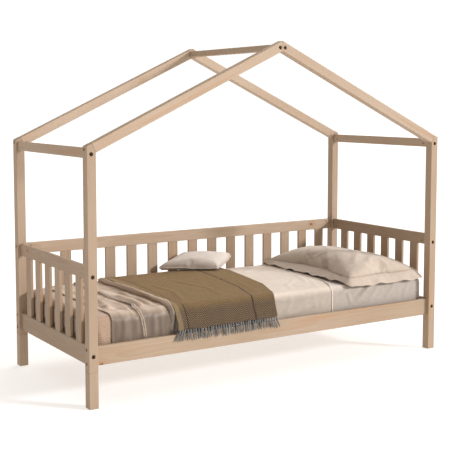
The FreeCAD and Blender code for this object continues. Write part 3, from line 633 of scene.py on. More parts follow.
def cloth(name, P, UV, thick, mat, N=None):
    """A closed sheet of real thickness round the middle surface P, its edges rounded."""
    nx, ns = P.shape[:2]
    if N is None:
        N = normals(P)
    h = thick / 2
    step_x = np.linalg.norm(np.diff(P, axis=0), axis=-1)
    step_s = np.linalg.norm(np.diff(P, axis=1), axis=-1)
    ex = np.concatenate([np.zeros((1, ns)), np.cumsum(step_x, 0)])
    es = np.concatenate([np.zeros((nx, 1)), np.cumsum(step_s, 1)], axis=1)
    e = np.minimum(np.minimum(ex, ex[-1] - ex), np.minimum(es, es[:, -1:] - es))
    f = np.sqrt(np.clip(1 - (1 - np.minimum(e, h) / h) ** 2, 0, 1))[..., None]
    A, B = P + N * h * f, P - N * h * f
    verts = list(A.reshape(-1, 3))
    uvs = list(UV.reshape(-1, 2))
    idA = np.arange(nx * ns).reshape(nx, ns)
    idB = idA.copy()
    inner = np.zeros((nx, ns), bool)
    inner[1:-1, 1:-1] = True
    idB[inner] = nx * ns + np.arange(inner.sum())
    verts += list(B[inner])
    uvs += list(UV[inner])
    fa = np.stack([idA[:-1, :-1], idA[1:, :-1], idA[1:, 1:], idA[:-1, 1:]], -1).reshape(-1, 4)
    fb = np.stack([idB[:-1, :-1], idB[:-1, 1:], idB[1:, 1:], idB[1:, :-1]], -1).reshape(-1, 4)
    return add(name, verts, np.concatenate([fa, fb]), mat, uvs)


def tube(pts, radius, sides=8, twist=0.0, flat=1.0):
    """Rings of a round cord along pts, closed at both ends. radius may be an array."""
    pts = np.asarray(pts, float)
    n = len(pts)
    radius = np.broadcast_to(np.asarray(radius, float), (n,))
    T = np.gradient(pts, axis=0)
    T /= np.linalg.norm(T, axis=1, keepdims=True)
    up = np.array([0.0, 0.0, 1.0]) if abs(T[0][2]) < 0.9 else np.array([0.0, 1.0, 0.0])
    verts, faces, uvs = [], [], []
    length = np.concatenate([[0], np.cumsum(np.linalg.norm(np.diff(pts, axis=0), axis=1))])
    for i in range(n):
        side = np.cross(T[i], up)
        side /= np.linalg.norm(side)
        nrm = np.cross(side, T[i])
        for k in range(sides):
            a = 2 * math.pi * k / sides + twist * i
            verts.append(pts[i] + radius[i] * (math.cos(a) * side + flat * math.sin(a) * nrm))
            uvs.append((k / sides, length[i]))
    for i in range(n - 1):
        for k in range(sides):
            a, b = i * sides + k, i * sides + (k + 1) % sides
            faces.append((a, b, b + sides, a + sides))
    faces.append(tuple(range(sides))[::-1])
    faces.append(tuple((n - 1) * sides + k for k in range(sides)))
    return verts, faces, uvs


def merge(parts):
    V, F, U = [], [], []
    for v, f, u in parts:
        base = len(V)
        V += list(v)
        U += list(u)
        F += [tuple(base + i for i in face) for face in f]
    return V, F, U


def shell(hx, hy, z0, z1, R, r, step, hem=None, closed=False, rb=None):
    """Rounded box as a grid over the top, the sides and the underside (closed, or a hem of that width turned in)."""
    nx, ny = int(round(2 * hx / step)), int(round(2 * hy / step))
    nz = max(6, int(round((z1 - z0) / step)))
    rb = rb or r
    xs, ys = np.linspace(-hx, hx, nx + 1), np.linspace(-hy, hy, ny + 1)
    ids, verts = {}, []

    def vid(i, j, k, lay):
        key = (i, j, k, lay)
        if key not in ids:
            ids[key] = len(verts)
            verts.append(key)
        return ids[key]

    faces = []
    for i in range(nx):
        for j in range(ny):
            faces.append((vid(i, j, nz, 0), vid(i + 1, j, nz, 0), vid(i + 1, j + 1, nz, 0), vid(i, j + 1, nz, 0)))
    ring = [(i, 0) for i in range(nx)] + [(nx, j) for j in range(ny)] + [(i, ny) for i in range(nx, 0, -1)] + [(0, j) for j in range(ny, 0, -1)]
    m = len(ring)
    for k in range(nz):
        for q in range(m):
            (i, j), (i2, j2) = ring[q], ring[(q + 1) % m]
            faces.append((vid(i, j, k, 0), vid(i2, j2, k, 0), vid(i2, j2, k + 1, 0), vid(i, j, k + 1, 0)))
    if closed:
        for i in range(nx):
            for j in range(ny):
                a = [(i, j), (i, j + 1), (i + 1, j + 1), (i + 1, j)]
                faces.append(tuple(vid(p, q, 0, 0 if p in (0, nx) or q in (0, ny) else 1) for p, q in a))
    elif hem:
        w = max(1, int(round(hem / step)))
        for i in range(nx):
            for j in range(ny):
                if min(i, j, nx - 1 - i, ny - 1 - j) < w:
                    a = [(i, j), (i, j + 1), (i + 1, j + 1), (i + 1, j)]
                    faces.append(tuple(vid(p, q, 0, 0 if p in (0, nx) or q in (0, ny) else 1) for p, q in a))
    K = np.array(verts)
    P = np.stack([xs[K[:, 0]], ys[K[:, 1]], z0 + (z1 - z0) * K[:, 2] / nz], -1)
    # round corners in plan
    q = np.clip(P[:, :2], [-(hx - R), -(hy - R)], [hx - R, hy - R])
    d = P[:, :2] - q
    L, M = np.hypot(d[:, 0], d[:, 1]), np.abs(d).max(1)
    corner = (np.abs(d) > 1e-9).all(1)
    d = np.where(corner[:, None], d * (M / np.maximum(L, 1e-9))[:, None], d)
    inset = R - np.hypot(d[:, 0], d[:, 1])
    n2 = d / np.maximum(np.hypot(d[:, 0], d[:, 1]), 1e-9)[:, None]
    XY = q + d
    # round the top and bottom edges
    Z = P[:, 2].copy()
    for zc, rr, sgn in ((z1, r, 1), (z0, rb, -1)):
        u = np.clip(rr - inset, 0, None)
        hgt = np.clip(sgn * (Z - (zc - sgn * rr)), 0, None)
        hit = (u > 0) & (hgt > 0)
        f = np.where(hit, np.maximum(u, hgt) / np.maximum(np.hypot(u, hgt), 1e-9), 1.0)
        XY = XY + n2 * ((u * f - u) * hit)[:, None]
        Z = np.where(hit, zc - sgn * rr + sgn * hgt * f, Z)
    return np.column_stack([XY, Z]), faces


def mesh_normals(verts, faces):
    me = bpy.data.meshes.new("tmp")
    me.from_pydata([tuple(v) for v in verts], [], faces)
    me.update()
    N = np.empty(len(verts) * 3, dtype=np.float32)
    me.vertices.foreach_get("normal", N)
    bpy.data.meshes.remove(me)
    return N.reshape(-1, 3).astype(float)


def solidify(ob, thick, offset=-1.0):
    md = ob.modifiers.new("thickness", "SOLIDIFY")
    md.thickness = thick
    md.offset = offset
    md.use_rim = True
    return md


# ---------------------------------------------------- mattress, fitted sheet
V, F = shell(0.9905, 0.3905, 0.2425, 0.3925, 0.043, 0.034, 0.016, closed=True)
N = mesh_normals(V, F)
quilt = 0.5 + 0.5 * np.minimum(np.abs(np.sin((V[:, 0] + V[:, 1]) * math.pi / 0.11)), np.abs(np.sin((V[:, 0] - V[:, 1]) * math.pi / 0.11)))
V = V - N * (0.0012 * (1 - quilt))[:, None]
mattress = add("mattress_core", V, F, M_TICK)
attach(mattress, "bedding")
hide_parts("mattress")

V, F = shell(HALF_L, HALF_W, 0.2388, TOP, 0.047, 0.034, 0.0085, hem=0.055, rb=0.020)
N = mesh_normals(V, F)
side = smooth(0.385 - V[:, 2], 0.0, 0.03)
bulge = 0.0035 * (1 - np.clip(np.abs(V[:, 2] - 0.325) / 0.08, 0, 1) ** 2) - 0.0035
disp = np.where(V[:, 2] < 0.398, bulge, 0.0)
uncovered = smooth(V[:, 0], 0.16, 0.30)
for a, b, hgt, wid in (((617, 384), (515, 314), 0.0042, 0.009), ((458, 377), (401, 346), 0.004, 0.008), ((401, 346), (378, 325), 0.003, 0.008),
                       ((461, 366), (488, 301), 0.0035, 0.008), ((542, 332), (607, 375), 0.003, 0.008), ((680, 380), (600, 300), 0.003, 0.010),
                       ((790, 372), (720, 300), 0.0025, 0.010), ((890, 366), (850, 300), 0.0025, 0.010)):
    disp += 1.5 * crease(V, [(a[0] / 1000, -0.400, a[1] / 1000), (b[0] / 1000, -0.400, b[1] / 1000)], hgt, wid) * uncovered
for k in range(16):
    x0 = 0.40 + 0.55 * RNG.random()
    y0 = -0.38 + 0.76 * RNG.random()
    an = RNG.uniform(-0.9, 0.9) + math.pi / 2
    ln = RNG.uniform(0.06, 0.16)
    disp += crease(V, [(x0, y0, TOP), (x0 + ln * math.cos(an), y0 + ln * math.sin(an), TOP)], 0.0020, 0.009) * uncovered
for s in (1,):
    for k in range(12):
        x0 = 0.35 + 0.6 * k / 11 + 0.02 * RNG.random()
        disp += crease(V, [(x0, s * 0.4, 0.385), (x0 - 0.05, s * 0.4, 0.30)], 0.0025, 0.008) * uncovered
for k in range(9):
    y0 = -0.34 + 0.68 * k / 8
    disp += crease(V, [(1.0, y0, 0.385), (1.0, y0 + 0.04 * RNG.uniform(-1, 1), 0.29)], 0.0028, 0.009)
low = smooth(0.275 - V[:, 2], 0, 0.03)
pucker = np.sin((V[:, 0] + V[:, 1]) * 2 * math.pi / 0.021 + 4 * vnoise(V[:, 0] * 20, V[:, 1] * 20, 3))
disp += 0.0012 * low * pucker * (V[:, 2] > 0.245)
disp -= 0.0022 * vnoise(V[:, 0] * 9, V[:, 1] * 9, 5)
V = V + N * disp[:, None]
V[:, 2] = np.minimum(V[:, 2], TOP + np.where(V[:, 0] > 0.47, 0.0016, 0.0))
fitted = add("fitted_sheet_cloth", V, F, M_SHEET)
solidify(fitted, 0.0012)
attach(fitted, "bedding")
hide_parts("fitted_sheet")


# ------------------------------------------------ layers that lie over the bed
def drape(xs, o, zf, zb, ds=0.008, slant=None, h=0.002, lift=None):
    """Middle surface over the bed. o, zf and zb are the offset from the sheet, the front hem and the back hem at each
    x.
    Returns points (x, s, 3) and the cloth coordinates."""
    xs = np.asarray(xs, float)
    o = np.broadcast_to(np.asarray(o, float), xs.shape)
    zf = np.broadcast_to(np.asarray(zf, float), xs.shape)
    zb = np.broadcast_to(np.asarray(zb, float), xs.shape)
    r0 = 0.034
    zt = TOP - r0
    lf, lb = float(np.max(zt - zf)), float(np.max(zt - zb))
    nf = with_rim(0, 1, ds / lf, h / lf)
    nb = with_rim(0, 1, ds / lb, h / lb)
    arc = np.linspace(0, 1, 9)
    topn = np.linspace(0, 1, int((2 * HALF_W) / ds))
    rows = []
    for t in nf[:-1]:
        z = zf + (zt - zf) * t
        y = -(HALF_W + o)
        if slant is not None:
            y = y + slant(xs, z)
        rows.append((y, z))
    for a in arc:
        ang = math.pi - a * math.pi / 2
        y = -(HALF_W - r0) + (r0 + o) * math.cos(ang)
        z = zt + (r0 + o) * math.sin(ang)
        if slant is not None and a < 1:
            y = y + slant(xs, z) * (1 - a)
        rows.append((y, z))
    for t in topn[1:-1]:
        rows.append((-(HALF_W - r0) + 2 * (HALF_W - r0) * t + 0 * o, TOP + o))
    for a in arc:
        ang = math.pi / 2 - a * math.pi / 2
        rows.append(((HALF_W - r0) + (r0 + o) * math.cos(ang), zt + (r0 + o) * math.sin(ang)))
    for t in nb[::-1][1:]:
        rows.append((HALF_W + o, zb + (zt - zb) * t))
    Y = np.array([a for a, b in rows]).T
    Z = np.array([b for a, b in rows]).T
    P = np.stack([np.broadcast_to(xs[:, None], Y.shape), Y, Z], -1).copy()
    if lift is not None:
        w = smooth(P[..., 2], TOP - 0.02, TOP)
        P[..., 2] += lift(P[..., 0], P[..., 1]) * w
    s = np.concatenate([np.zeros((len(xs), 1)), np.cumsum(np.linalg.norm(np.diff(P, axis=1), axis=-1), 1)], 1)
    UV = np.stack([P[..., 0] - xs[0], s], -1)
    return P, UV


# top sheet
xs = with_rim(-0.20, 0.3560, 0.0105, 0.0008)
P, UV = drape(xs, 0.0012, 0.258, 0.300, h=0.0008, ds=0.010)
side_w = smooth(TOP - P[..., 2], -0.002, 0.02)
# the hem end runs slantwise towards the head on top of the bed
reach = np.interp(P[..., 1], [-0.41, -0.382, -0.330, -0.274, -0.171, 0.006, 0.2, 0.41], [0.0, 0.003, 0.030, 0.055, 0.084, 0.095, 0.096, 0.096])
P[..., 0] += reach * smooth(P[..., 0], 0.10, 0.3560)
N0 = normals(P)
D = crease(P, [(0.440, 0.100, TOP), (0.403, -0.047, TOP), (0.327, -0.245, TOP)], 0.0048, 0.011)
D += crease(P, [(0.060, -0.401, 0.284), (0.189, -0.401, 0.312), (0.320, -0.401, 0.334)], 0.0046, 0.011)
D += crease(P, [(-0.02, -0.401, 0.372), (0.122, -0.401, 0.362), (0.235, -0.401, 0.372)], 0.0042, 0.010)
D += crease(P, [(0.30, 0.16, TOP), (0.22, -0.06, TOP)], 0.0016, 0.010)
D += crease(P, [(0.20, -0.20, TOP), (0.30, -0.37, TOP)], 0.0016, 0.009)
D += crease(P, [(0.17, -0.401, 0.38), (0.19, -0.401, 0.30)], 0.0020, 0.012)
D += crease(P, [(0.30, -0.401, 0.38), (0.285, -0.401, 0.29)], 0.0016, 0.010)
D += crease(P, [(0.10, -0.401, 0.385), (0.06, -0.401, 0.28)], 0.0030, 0.012)
D += crease(P, [(0.235, -0.401, 0.39), (0.25, -0.401, 0.28)], 0.0026, 0.010)
D += crease(P, [(0.14, -0.36, TOP), (0.20, -0.22, TOP), (0.33, -0.12, TOP)], 0.0030, 0.011)
D += crease(P, [(0.16, 0.02, TOP), (0.33, 0.05, TOP)], 0.0026, 0.012)
D += crease(P, [(0.20, 0.20, TOP), (0.36, 0.30, TOP)], 0.0026, 0.012)
D += crease(P, [(0.29, -0.37, TOP), (0.335, -0.28, TOP), (0.40, -0.16, TOP), (0.425, 0.0, TOP)], 0.0026, 0.009)
D += 0.0022 * (vnoise(P[..., 0] * 11, P[..., 1] * 11, 1) - 0.15)
P = P + N0 * np.maximum(D, -0.0002)[..., None]
top_sheet = cloth("top_sheet_cloth", P, UV, 0.0013, M_TOPSHEET)
# turned hem along its end
hem_i = len(xs) - 1
parts = []
row = P[hem_i - 1] + N0[hem_i - 1] * 0.0024
parts.append(tube(row[::2], 0.0031, 8, flat=0.7))
V, F, U = merge(parts)
top_hem = add("top_sheet_hem", V, F, M_HEM_PAINTED_HIGHLIGHT, U)
for ob in (top_sheet, top_hem):
    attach(ob, "bedding")
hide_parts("top_sheet")

# under blanket, wrapped round the foot of the bed
V, F = shell(HALF_L + 0.0026, HALF_W + 0.0026, 0.2388, TOP + 0.0024, 0.0496, 0.0366, 0.0085, rb=0.010)
keep = []
hemz = lambda x, y: np.where(x < -0.985, 0.300, 0.262) + 0.004 * np.sin(y * 37) + 0.003 * np.sin(x * 41)
Va = np.array(V)
for f in F:
    c = Va[list(f)].mean(0)
    if c[0] < -0.62 and c[2] > (0.300 if c[0] < -0.975 else (0.262 if c[1] < 0 else 0.335)):
        keep.append(f)
used = sorted({i for f in keep for i in f})
remap = {a: b for b, a in enumerate(used)}
V = Va[used]
F = [tuple(remap[i] for i in f) for f in keep]
N = mesh_normals(V, F)
D = 0.0012 * vnoise(V[:, 0] * 16, V[:, 1] * 16 + V[:, 2] * 13, 2)
foot = smooth(-0.985 - V[:, 0], 0, 0.01)
D += foot * (0.0016 * np.sin(V[:, 1] * 2 * math.pi / 0.058) * np.exp(-((V[:, 2] - 0.372) / 0.014) ** 2))
for k in range(7):
    y0 = -0.33 + 0.11 * k
    D += crease(V, [(-1.002, y0, 0.39), (-1.002, y0 + 0.03 * RNG.uniform(-1, 1), 0.31)], 0.0022, 0.010)
D += crease(V, [(-0.985, -0.395, 0.39), (-0.94, -0.402, 0.27)], 0.0025, 0.010) + crease(V, [(-0.97, -0.39, 0.40), (-0.93, -0.36, TOP)], 0.002, 0.010)
cov = smooth(V[:, 0], -0.93, -0.90)
D = D * (1 - 0.8 * cov)
V = V + N * D[:, None]
under = add("under_blanket_cloth", V, F, M_PEACH)
solidify(under, 0.0018)
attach(under, "bedding")
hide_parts("under_blanket")

# coverlet
x0, x1 = -0.908, -0.5835
xs = with_rim(x0, x1, 0.0065, 0.0022)
wavef = 0.264 + 0.006 * np.sin((xs - x0) * 2 * math.pi / 0.16 + 0.7) + 0.003 * np.sin((xs - x0) * 2 * math.pi / 0.07)
P, UV = drape(xs, 0.0068, wavef, 0.302, ds=0.0075, h=0.0022)
N0 = normals(P)
drop = smooth(0.403 - P[..., 2], 0.0, 0.060) * (P[..., 1] < 0)
rail = smooth(0.300 - P[..., 2], 0.0, 0.02)
X = P[..., 0]
folds = 0.6 * np.sin((X + 0.015 * vnoise(X * 6, P[..., 2] * 9, 4)) * 2 * math.pi / 0.085 + 1.1) + 0.4 * np.sin(X * 2 * math.pi / 0.047 + 0.4)
fold01 = 0.5 + 0.5 * folds
D = drop * (np.clip(fold01, 0, 1) ** 2.0) * 0.0140 * (1 - 0.78 * smooth(0.312 - P[..., 2], 0.0, 0.030))
D += 0.0022 * (vnoise(X * 14, P[..., 1] * 5, 6) - 0.35) * (1 - drop)
pip = [(-0.738, -0.407, 0.262), (-0.741, -0.407, 0.283), (-0.749, -0.407, 0.338), (-0.757, -0.404, 0.380), (-0.768, -0.385, 0.405), (-0.771, -0.360, 0.408),
       (-0.745, -0.300, 0.408), (-0.735, -0.270, 0.408), (-0.749, -0.188, 0.408), (-0.760, -0.100, 0.408), (-0.745, 0.05, 0.408), (-0.750, 0.2, 0.408), (-0.745, 0.37, 0.408)]
d, t = to_line(P, pip)
D += 0.0030 * np.exp(-(d / 0.010) ** 2) - 0.0024 * np.exp(-((d - 0.017) / 0.007) ** 2)
for pts, hgt, wid in (([(-0.800, -0.042, .408), (-0.770, -0.090, .408), (-0.774, -0.217, .408), (-0.777, -0.333, .408)], 0.0035, 0.012),
                      ([(-0.632, -0.407, 0.290), (-0.619, -0.407, 0.362), (-0.622, -0.36, 0.408)], 0.0032, 0.009),
                      ([(-0.67, -0.2, .408), (-0.655, 0.02, .408), (-0.68, 0.2, .408)], 0.0045, 0.013),
                      ([(-0.84, 0.2, .408), (-0.85, 0.0, .408), (-0.83, -0.2, .408)], 0.0045, 0.014),
                      ([(-0.72, -0.36, .408), (-0.69, -0.20, .408), (-0.70, 0.0, .408)], 0.0080, 0.014),
                      ([(-0.88, -0.34, .408), (-0.84, -0.18, .408), (-0.85, 0.06, .408)], 0.0085, 0.017),
                      ([(-0.895, -0.22, .408), (-0.82, -0.30, .408), (-0.78, -0.36, .408)], 0.0060, 0.014),
                      ([(-0.80, 0.05, .408), (-0.70, 0.24, .408)], 0.0060, 0.015),
                      ([(-0.655, -0.33, .408), (-0.64, -0.15, .408), (-0.655, 0.05, .408)], 0.0070, 0.012)):
    D += crease(P, pts, hgt, wid)
D = np.clip(D, -0.0022, 0.0135)
inrail = (P[..., 2] < 0.283) & (P[..., 1] < 0)
D = np.where(inrail, np.minimum(D, 0.0028), D)
P = P + N0 * D[..., None]
coverlet = cloth("coverlet_cloth", P, UV, 0.0042, M_SATIN)
# cord sewn into the folded hem
cord_pts = []
fine = np.array(pip)
seg = np.concatenate([[0], np.cumsum(np.linalg.norm(np.diff(fine, axis=0), axis=1))])
at = np.linspace(0, seg[-1], 170)
cp = np.column_stack([np.interp(at, seg, fine[:, k]) for k in range(3)])
for _ in range(6):
    cp[1:-1] = 0.25 * cp[:-2] + 0.5 * cp[1:-1] + 0.25 * cp[2:]
front_w = smooth(0.404 - cp[:, 2], 0.0, 0.02)
cp[:, 2] += 0.0055 * (1 - front_w)
cp[:, 1] -= 0.0075 * front_w * smooth(cp[:, 2], 0.272, 0.312)
# two cords side by side
parts = []
for off in (-0.0048, 0.0048):
    line = cp.copy()
    line[:, 0] += off
    parts.append(tube(line, (0.0044 + 0.0003 * np.sin(at * 240 + 90 * off)) * (1 - 0.25 * smooth(0.300 - cp[:, 2], 0, 0.03)), 10, twist=0.16))
V, F, U = merge(parts)
piped = add("coverlet_piping", V, F, M_CORD, U)
# rolled edge beside the throw, which turns down over the front with it
ctrl = np.array([(-0.606, 0.372, 0.4165), (-0.608, 0.236, 0.4185), (-0.600, 0.107, 0.4190), (-0.594, -0.11, 0.4190), (-0.600, -0.28, 0.4190),
                 (-0.603, -0.362, 0.4170), (-0.602, -0.392, 0.4090), (-0.600, -0.4085, 0.3900), (-0.600, -0.4125, 0.3600), (-0.603, -0.4125, 0.3200), (-0.606, -0.4120, 0.2900)])
seg = np.concatenate([[0], np.cumsum(np.linalg.norm(np.diff(ctrl, axis=0), axis=1))])
NR = 130
at = np.linspace(0, seg[-1], NR)
cp = np.column_stack([np.interp(at, seg, ctrl[:, k]) for k in range(3)])
for _ in range(10):
    cp[1:-1] = 0.25 * cp[:-2] + 0.5 * cp[1:-1] + 0.25 * cp[2:]
cp[:, 0] += 0.0018 * np.sin(at * 38)
rr = 0.0135 + 0.0014 * np.sin(at * 17 + 1) + 0.0006 * np.sin(at * 71)
rr = rr * (1 - 0.38 * smooth(at, seg[-1] - 0.16, seg[-1] - 0.03))
rr *= np.clip(np.minimum(at - at[0], at[-1] - at) / 0.02, 0.2, 1) ** 0.5
V, F, U = tube(cp, rr, 24, flat=0.95)
V = np.array(V)
ang = np.tile(np.arange(24), NR) * 2 * math.pi / 24
groove = 0.0016 * np.sin(3 * ang + np.repeat(at, 24) * 9 + 2 * vnoise(np.repeat(at, 24) * 8, ang, 3))
cen = np.repeat(cp, 24, axis=0)
V = cen + (V - cen) * (1 + groove / 0.013)[:, None]
# the cloth coordinate runs from the front hem, as on the coverlet, so the coverlet's painted shade on the front drop
# falls on the roll's front end too
U = [(a, seg[-1] - b) for a, b in U]
roll = add("coverlet_roll", V, F, M_SATIN, U)
for ob in (coverlet, roll, piped):
    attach(ob, "bedding")
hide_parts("coverlet")

# throw
def throw_right(y, z):
    on_top = np.interp(y, [-0.44, -0.42, -0.16, -0.073, 0.232, 0.306, 0.41], [-0.020, -0.018, 0.085, 0.092, 0.120, 0.122, 0.122])
    return on_top


xs = with_rim(0.0, 1.0, 0.0115, 0.004)
base = -0.580 + 0.60 * xs
lift_t = lambda x, y: np.interp(y, [-0.40, -0.18, 0.06, 0.20, 0.38], [0.0, 0.0, 0.0100, 0.0148, 0.0148])
slant = lambda x, z: -(0.0352 * smooth(0.400 - z, 0.0, 0.100) + 0.0 * x)
zfh = 0.2985 + 0.0018 * np.sin(base * 2 * math.pi / 0.19) + 0.001 * np.sin(base * 61)
P, UV = drape(base, 0.0058, zfh, 0.326, ds=0.0085, slant=slant, h=0.0022, lift=lift_t)
left = np.interp(P[..., 1], [-0.44, -0.405, -0.30, -0.09, 0.15, 0.40], [-0.580, -0.580, -0.578, -0.576, -0.578, -0.580])
right = throw_right(P[..., 1], P[..., 2])
t = np.broadcast_to(xs[:, None], left.shape)
P[..., 0] = left + (right - left) * t
UV[..., 0] = t * 0.585
N0 = normals(P)
X, Y = P[..., 0], P[..., 1]
front = smooth(0.395 - P[..., 2], 0.0, 0.10) * (Y < 0)
D = 0.0030 * (vnoise(X * 8, Y * 8 + P[..., 2] * 6, 7) - 0.45) + 0.0014 * (vnoise(X * 21, Y * 21, 8) - 0.5)
D += front * (0.0018 * np.sin(X * 2 * math.pi / 0.19 + 0.5) + 0.0010 * np.sin(X * 2 * math.pi / 0.083)) * smooth(P[..., 2], 0.300, 0.34)
for pts, hgt, wid in (([(-0.50, -0.35, .406), (-0.42, -0.12, .406), (-0.45, 0.1, .413)], 0.0028, 0.014),
                      ([(-0.25, -0.36, .406), (-0.22, -0.1, .406), (-0.30, 0.12, .413)], 0.0026, 0.014),
                      ([(-0.05, -0.30, .406), (0.00, -0.05, .410)], 0.0026, 0.012),
                      ([(-0.12, 0.05, .41), (0.08, 0.02, .41)], 0.0022, 0.012)):
    D += crease(P, pts, hgt, wid)
D = np.clip(D, -0.0014, 0.0040)
band = 1 - smooth(UV[..., 0], 0.046, 0.056)
D += 0.0026 * band - 0.0016 * np.exp(-((UV[..., 0] - 0.058) / 0.006) ** 2)
D = np.where((P[..., 2] < 0.312) & (Y < 0), np.clip(D, -0.0002, 0.0012), D)
D = np.where(Y > 0.10, np.clip(D, -0.0014, 0.0020), D)
P = P + N0 * D[..., None]
throw = cloth("throw_cloth", P, UV, 0.0044, M_THROW)
# selvedge cord along the slanting side
parts = [tube(P[-2, 2:-2:2] + N0[-2, 2:-2:2] * 0.001, 0.0028, 7), tube(P[1, 2:-2:2] + N0[1, 2:-2:2] * 0.001, 0.0026, 7)]
V, F, U = merge(parts)
U = [(0.005, b) for a, b in U]
selv = add("throw_selvedge", V, F, M_THROW, U)
# fringe
parts = []
hem_y = float(P[20, 2, 1])
count = 40
for k in range(count):
    f = k / (count - 1)
    x = -0.571 + 0.546 * f + RNG.uniform(-0.0015, 0.0015)
    splay = 0.020 * (smooth(f, 0.88, 1.0) - smooth(1 - f, 0.88, 1.0)) + RNG.uniform(-0.007, 0.007)
    ln = 0.053 + RNG.uniform(-0.007, 0.004)
    rr = RNG.uniform(0.0040, 0.0052)
    pts = []
    for i in range(8):
        u = i / 7
        pts.append((x + splay * u + 0.0020 * math.sin(5 * u + k * 1.7), hem_y - 0.0004, 0.2990 - ln * u))
    rad = rr * np.array([0.8, 1.1, 1.0, 0.95, 1.0, 1.05, 1.0, 0.45])
    v, fc, u = tube(pts, rad, 8)
    v = [(a, hem_y - 0.0004 + (b - hem_y + 0.0004) * 0.46, c) for a, b, c in v]
    u = [(a + k * 0.37, b) for a, b in u]
    parts.append((v, fc, u))
V, F, U = merge(parts)
fringe = add("throw_fringe_yarns", V, F, M_YARN, U)
for ob in (throw, selv):
    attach(ob, "bedding")
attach(fringe, "bedding")
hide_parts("throw")
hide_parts("throw_fringe")


# ------------------------------------------------------------ stuffed pieces
def panels(w, l, step, thick=0.012, crown=0.0):
    """Two rectangular panels sewn along their edges. Returns vertices, faces and the loop of seam vertices."""
    nx, ny = int(round(w / step)), int(round(l / step))
    xs, ys = np.linspace(-w / 2, w / 2, nx + 1), np.linspace(-l / 2, l / 2, ny + 1)
    verts, faces, ids = [], [], {}

    def vid(i, j, s):
        rim = i in (0, nx) or j in (0, ny)
        key = (i, j, 0 if rim else s)
        if key not in ids:
            ids[key] = len(verts)
            x, y = xs[i], ys[j]
            # corners drawn in a little so that they come out round
            cx, cy = abs(x) / (w / 2), abs(y) / (l / 2)
            k = 1 - 0.030 * (cx * cy) ** 6
            e = min(1, min(w / 2 - abs(x), l / 2 - abs(y)) / 0.03)
            verts.append((x * k, y * k, 0 if rim else s * (thick / 2 + 0.02 * math.sin(e * math.pi / 2))))
        return ids[key]

    for s in (1, -1):
        for i in range(nx):
            for j in range(ny):
                f = (vid(i, j, s), vid(i + 1, j, s), vid(i + 1, j + 1, s), vid(i, j + 1, s))
                faces.append(f if s > 0 else f[::-1])
    loop = [ids[(i, 0, 0)] for i in range(nx)] + [ids[(nx, j, 0)] for j in range(ny)] + [ids[(i, ny, 0)] for i in range(nx, 0, -1)] + [ids[(0, j, 0)] for j in range(ny, 0, -1)]
    return verts, faces, loop


def inflate(name, verts, faces, frames, pressure):
    """Blows the sewn panels up as a cloth and returns the vertices."""
    me = bpy.data.meshes.new(name)
    me.from_pydata(verts, [], faces)
    ob = bpy.data.objects.new(name, me)
    COL.objects.link(ob)
    md = ob.modifiers.new("Cloth", "CLOTH")
    st = md.settings
    st.quality = 6
    st.mass = 0.25
    st.air_damping = 4.0
    st.tension_stiffness = st.compression_stiffness = 30.0
    st.shear_stiffness = 8.0
    st.bending_stiffness = 0.6
    st.use_pressure = True
    st.uniform_pressure_force = pressure
    st.effector_weights.gravity = 0.0
    md.collision_settings.use_collision = False
    md.collision_settings.use_self_collision = False
    md.point_cache.frame_start = 1
    md.point_cache.frame_end = frames
    for f in range(1, frames + 1):
        SC.frame_set(f)
    ev = ob.evaluated_get(bpy.context.evaluated_depsgraph_get())
    out = np.empty(len(me.vertices) * 3, dtype=np.float32)
    ev.data.vertices.foreach_get("co", out)
    SC.frame_set(1)
    bpy.data.objects.remove(ob)
    bpy.data.meshes.remove(me)
    return out.reshape(-1, 3).astype(float)


def subdivide(ob, levels=1):
    md = ob.modifiers.new("smooth", "SUBSURF")
    md.levels = md.render_levels = levels
    return md


def loft(loop_pts, rows, faces_closed=True):
    """Faces between rows of a closed loop."""
    n = len(loop_pts[0])
    V, F = [], []
    for r in loop_pts:
        V += list(r)
    for i in range(len(loop_pts) - 1):
        for k in range(n):
            a, b = i * n + k, i * n + (k + 1) % n
            F.append((a, b, b + n, a + n))
    return V, F


# pillow with a flat flange all round
PV, PF, LOOP = panels(0.452, 0.756, 0.0115)
flat0 = np.array(PV)
B = inflate("pillow_sim", PV, PF, 18, 4.0)
print("pillow raw", B.min(0), B.max(0))
span = B.max(0) - B.min(0)
B[:, 0] *= 0.466 / span[0]
B[:, 1] *= 0.744 / span[1]
up = B[:, 2].max()
dn = -B[:, 2].min()
z_mid = 0.0335
B[:, 2] = np.where(B[:, 2] > 0, B[:, 2] * (0.0925 / up), B[:, 2] * (0.0315 / dn))
S_, T_ = np.clip(np.abs(flat0[:, 0]) / 0.226, 0, 1), np.clip(np.abs(flat0[:, 1]) / 0.378, 0, 1)
footward = flat0[:, 0] < 0
dome = np.where(footward, np.clip(1 - S_ ** 1.75, 0, 1) ** 0.72, np.clip(1 - S_ ** 2.3, 0, 1) ** 0.50) * np.clip(1 - T_ ** 2.8, 0, 1) ** 0.50
B[:, 2] = np.where(B[:, 2] > 0.0001, 0.30 * B[:, 2] + 0.70 * 0.0915 * dome, B[:, 2])
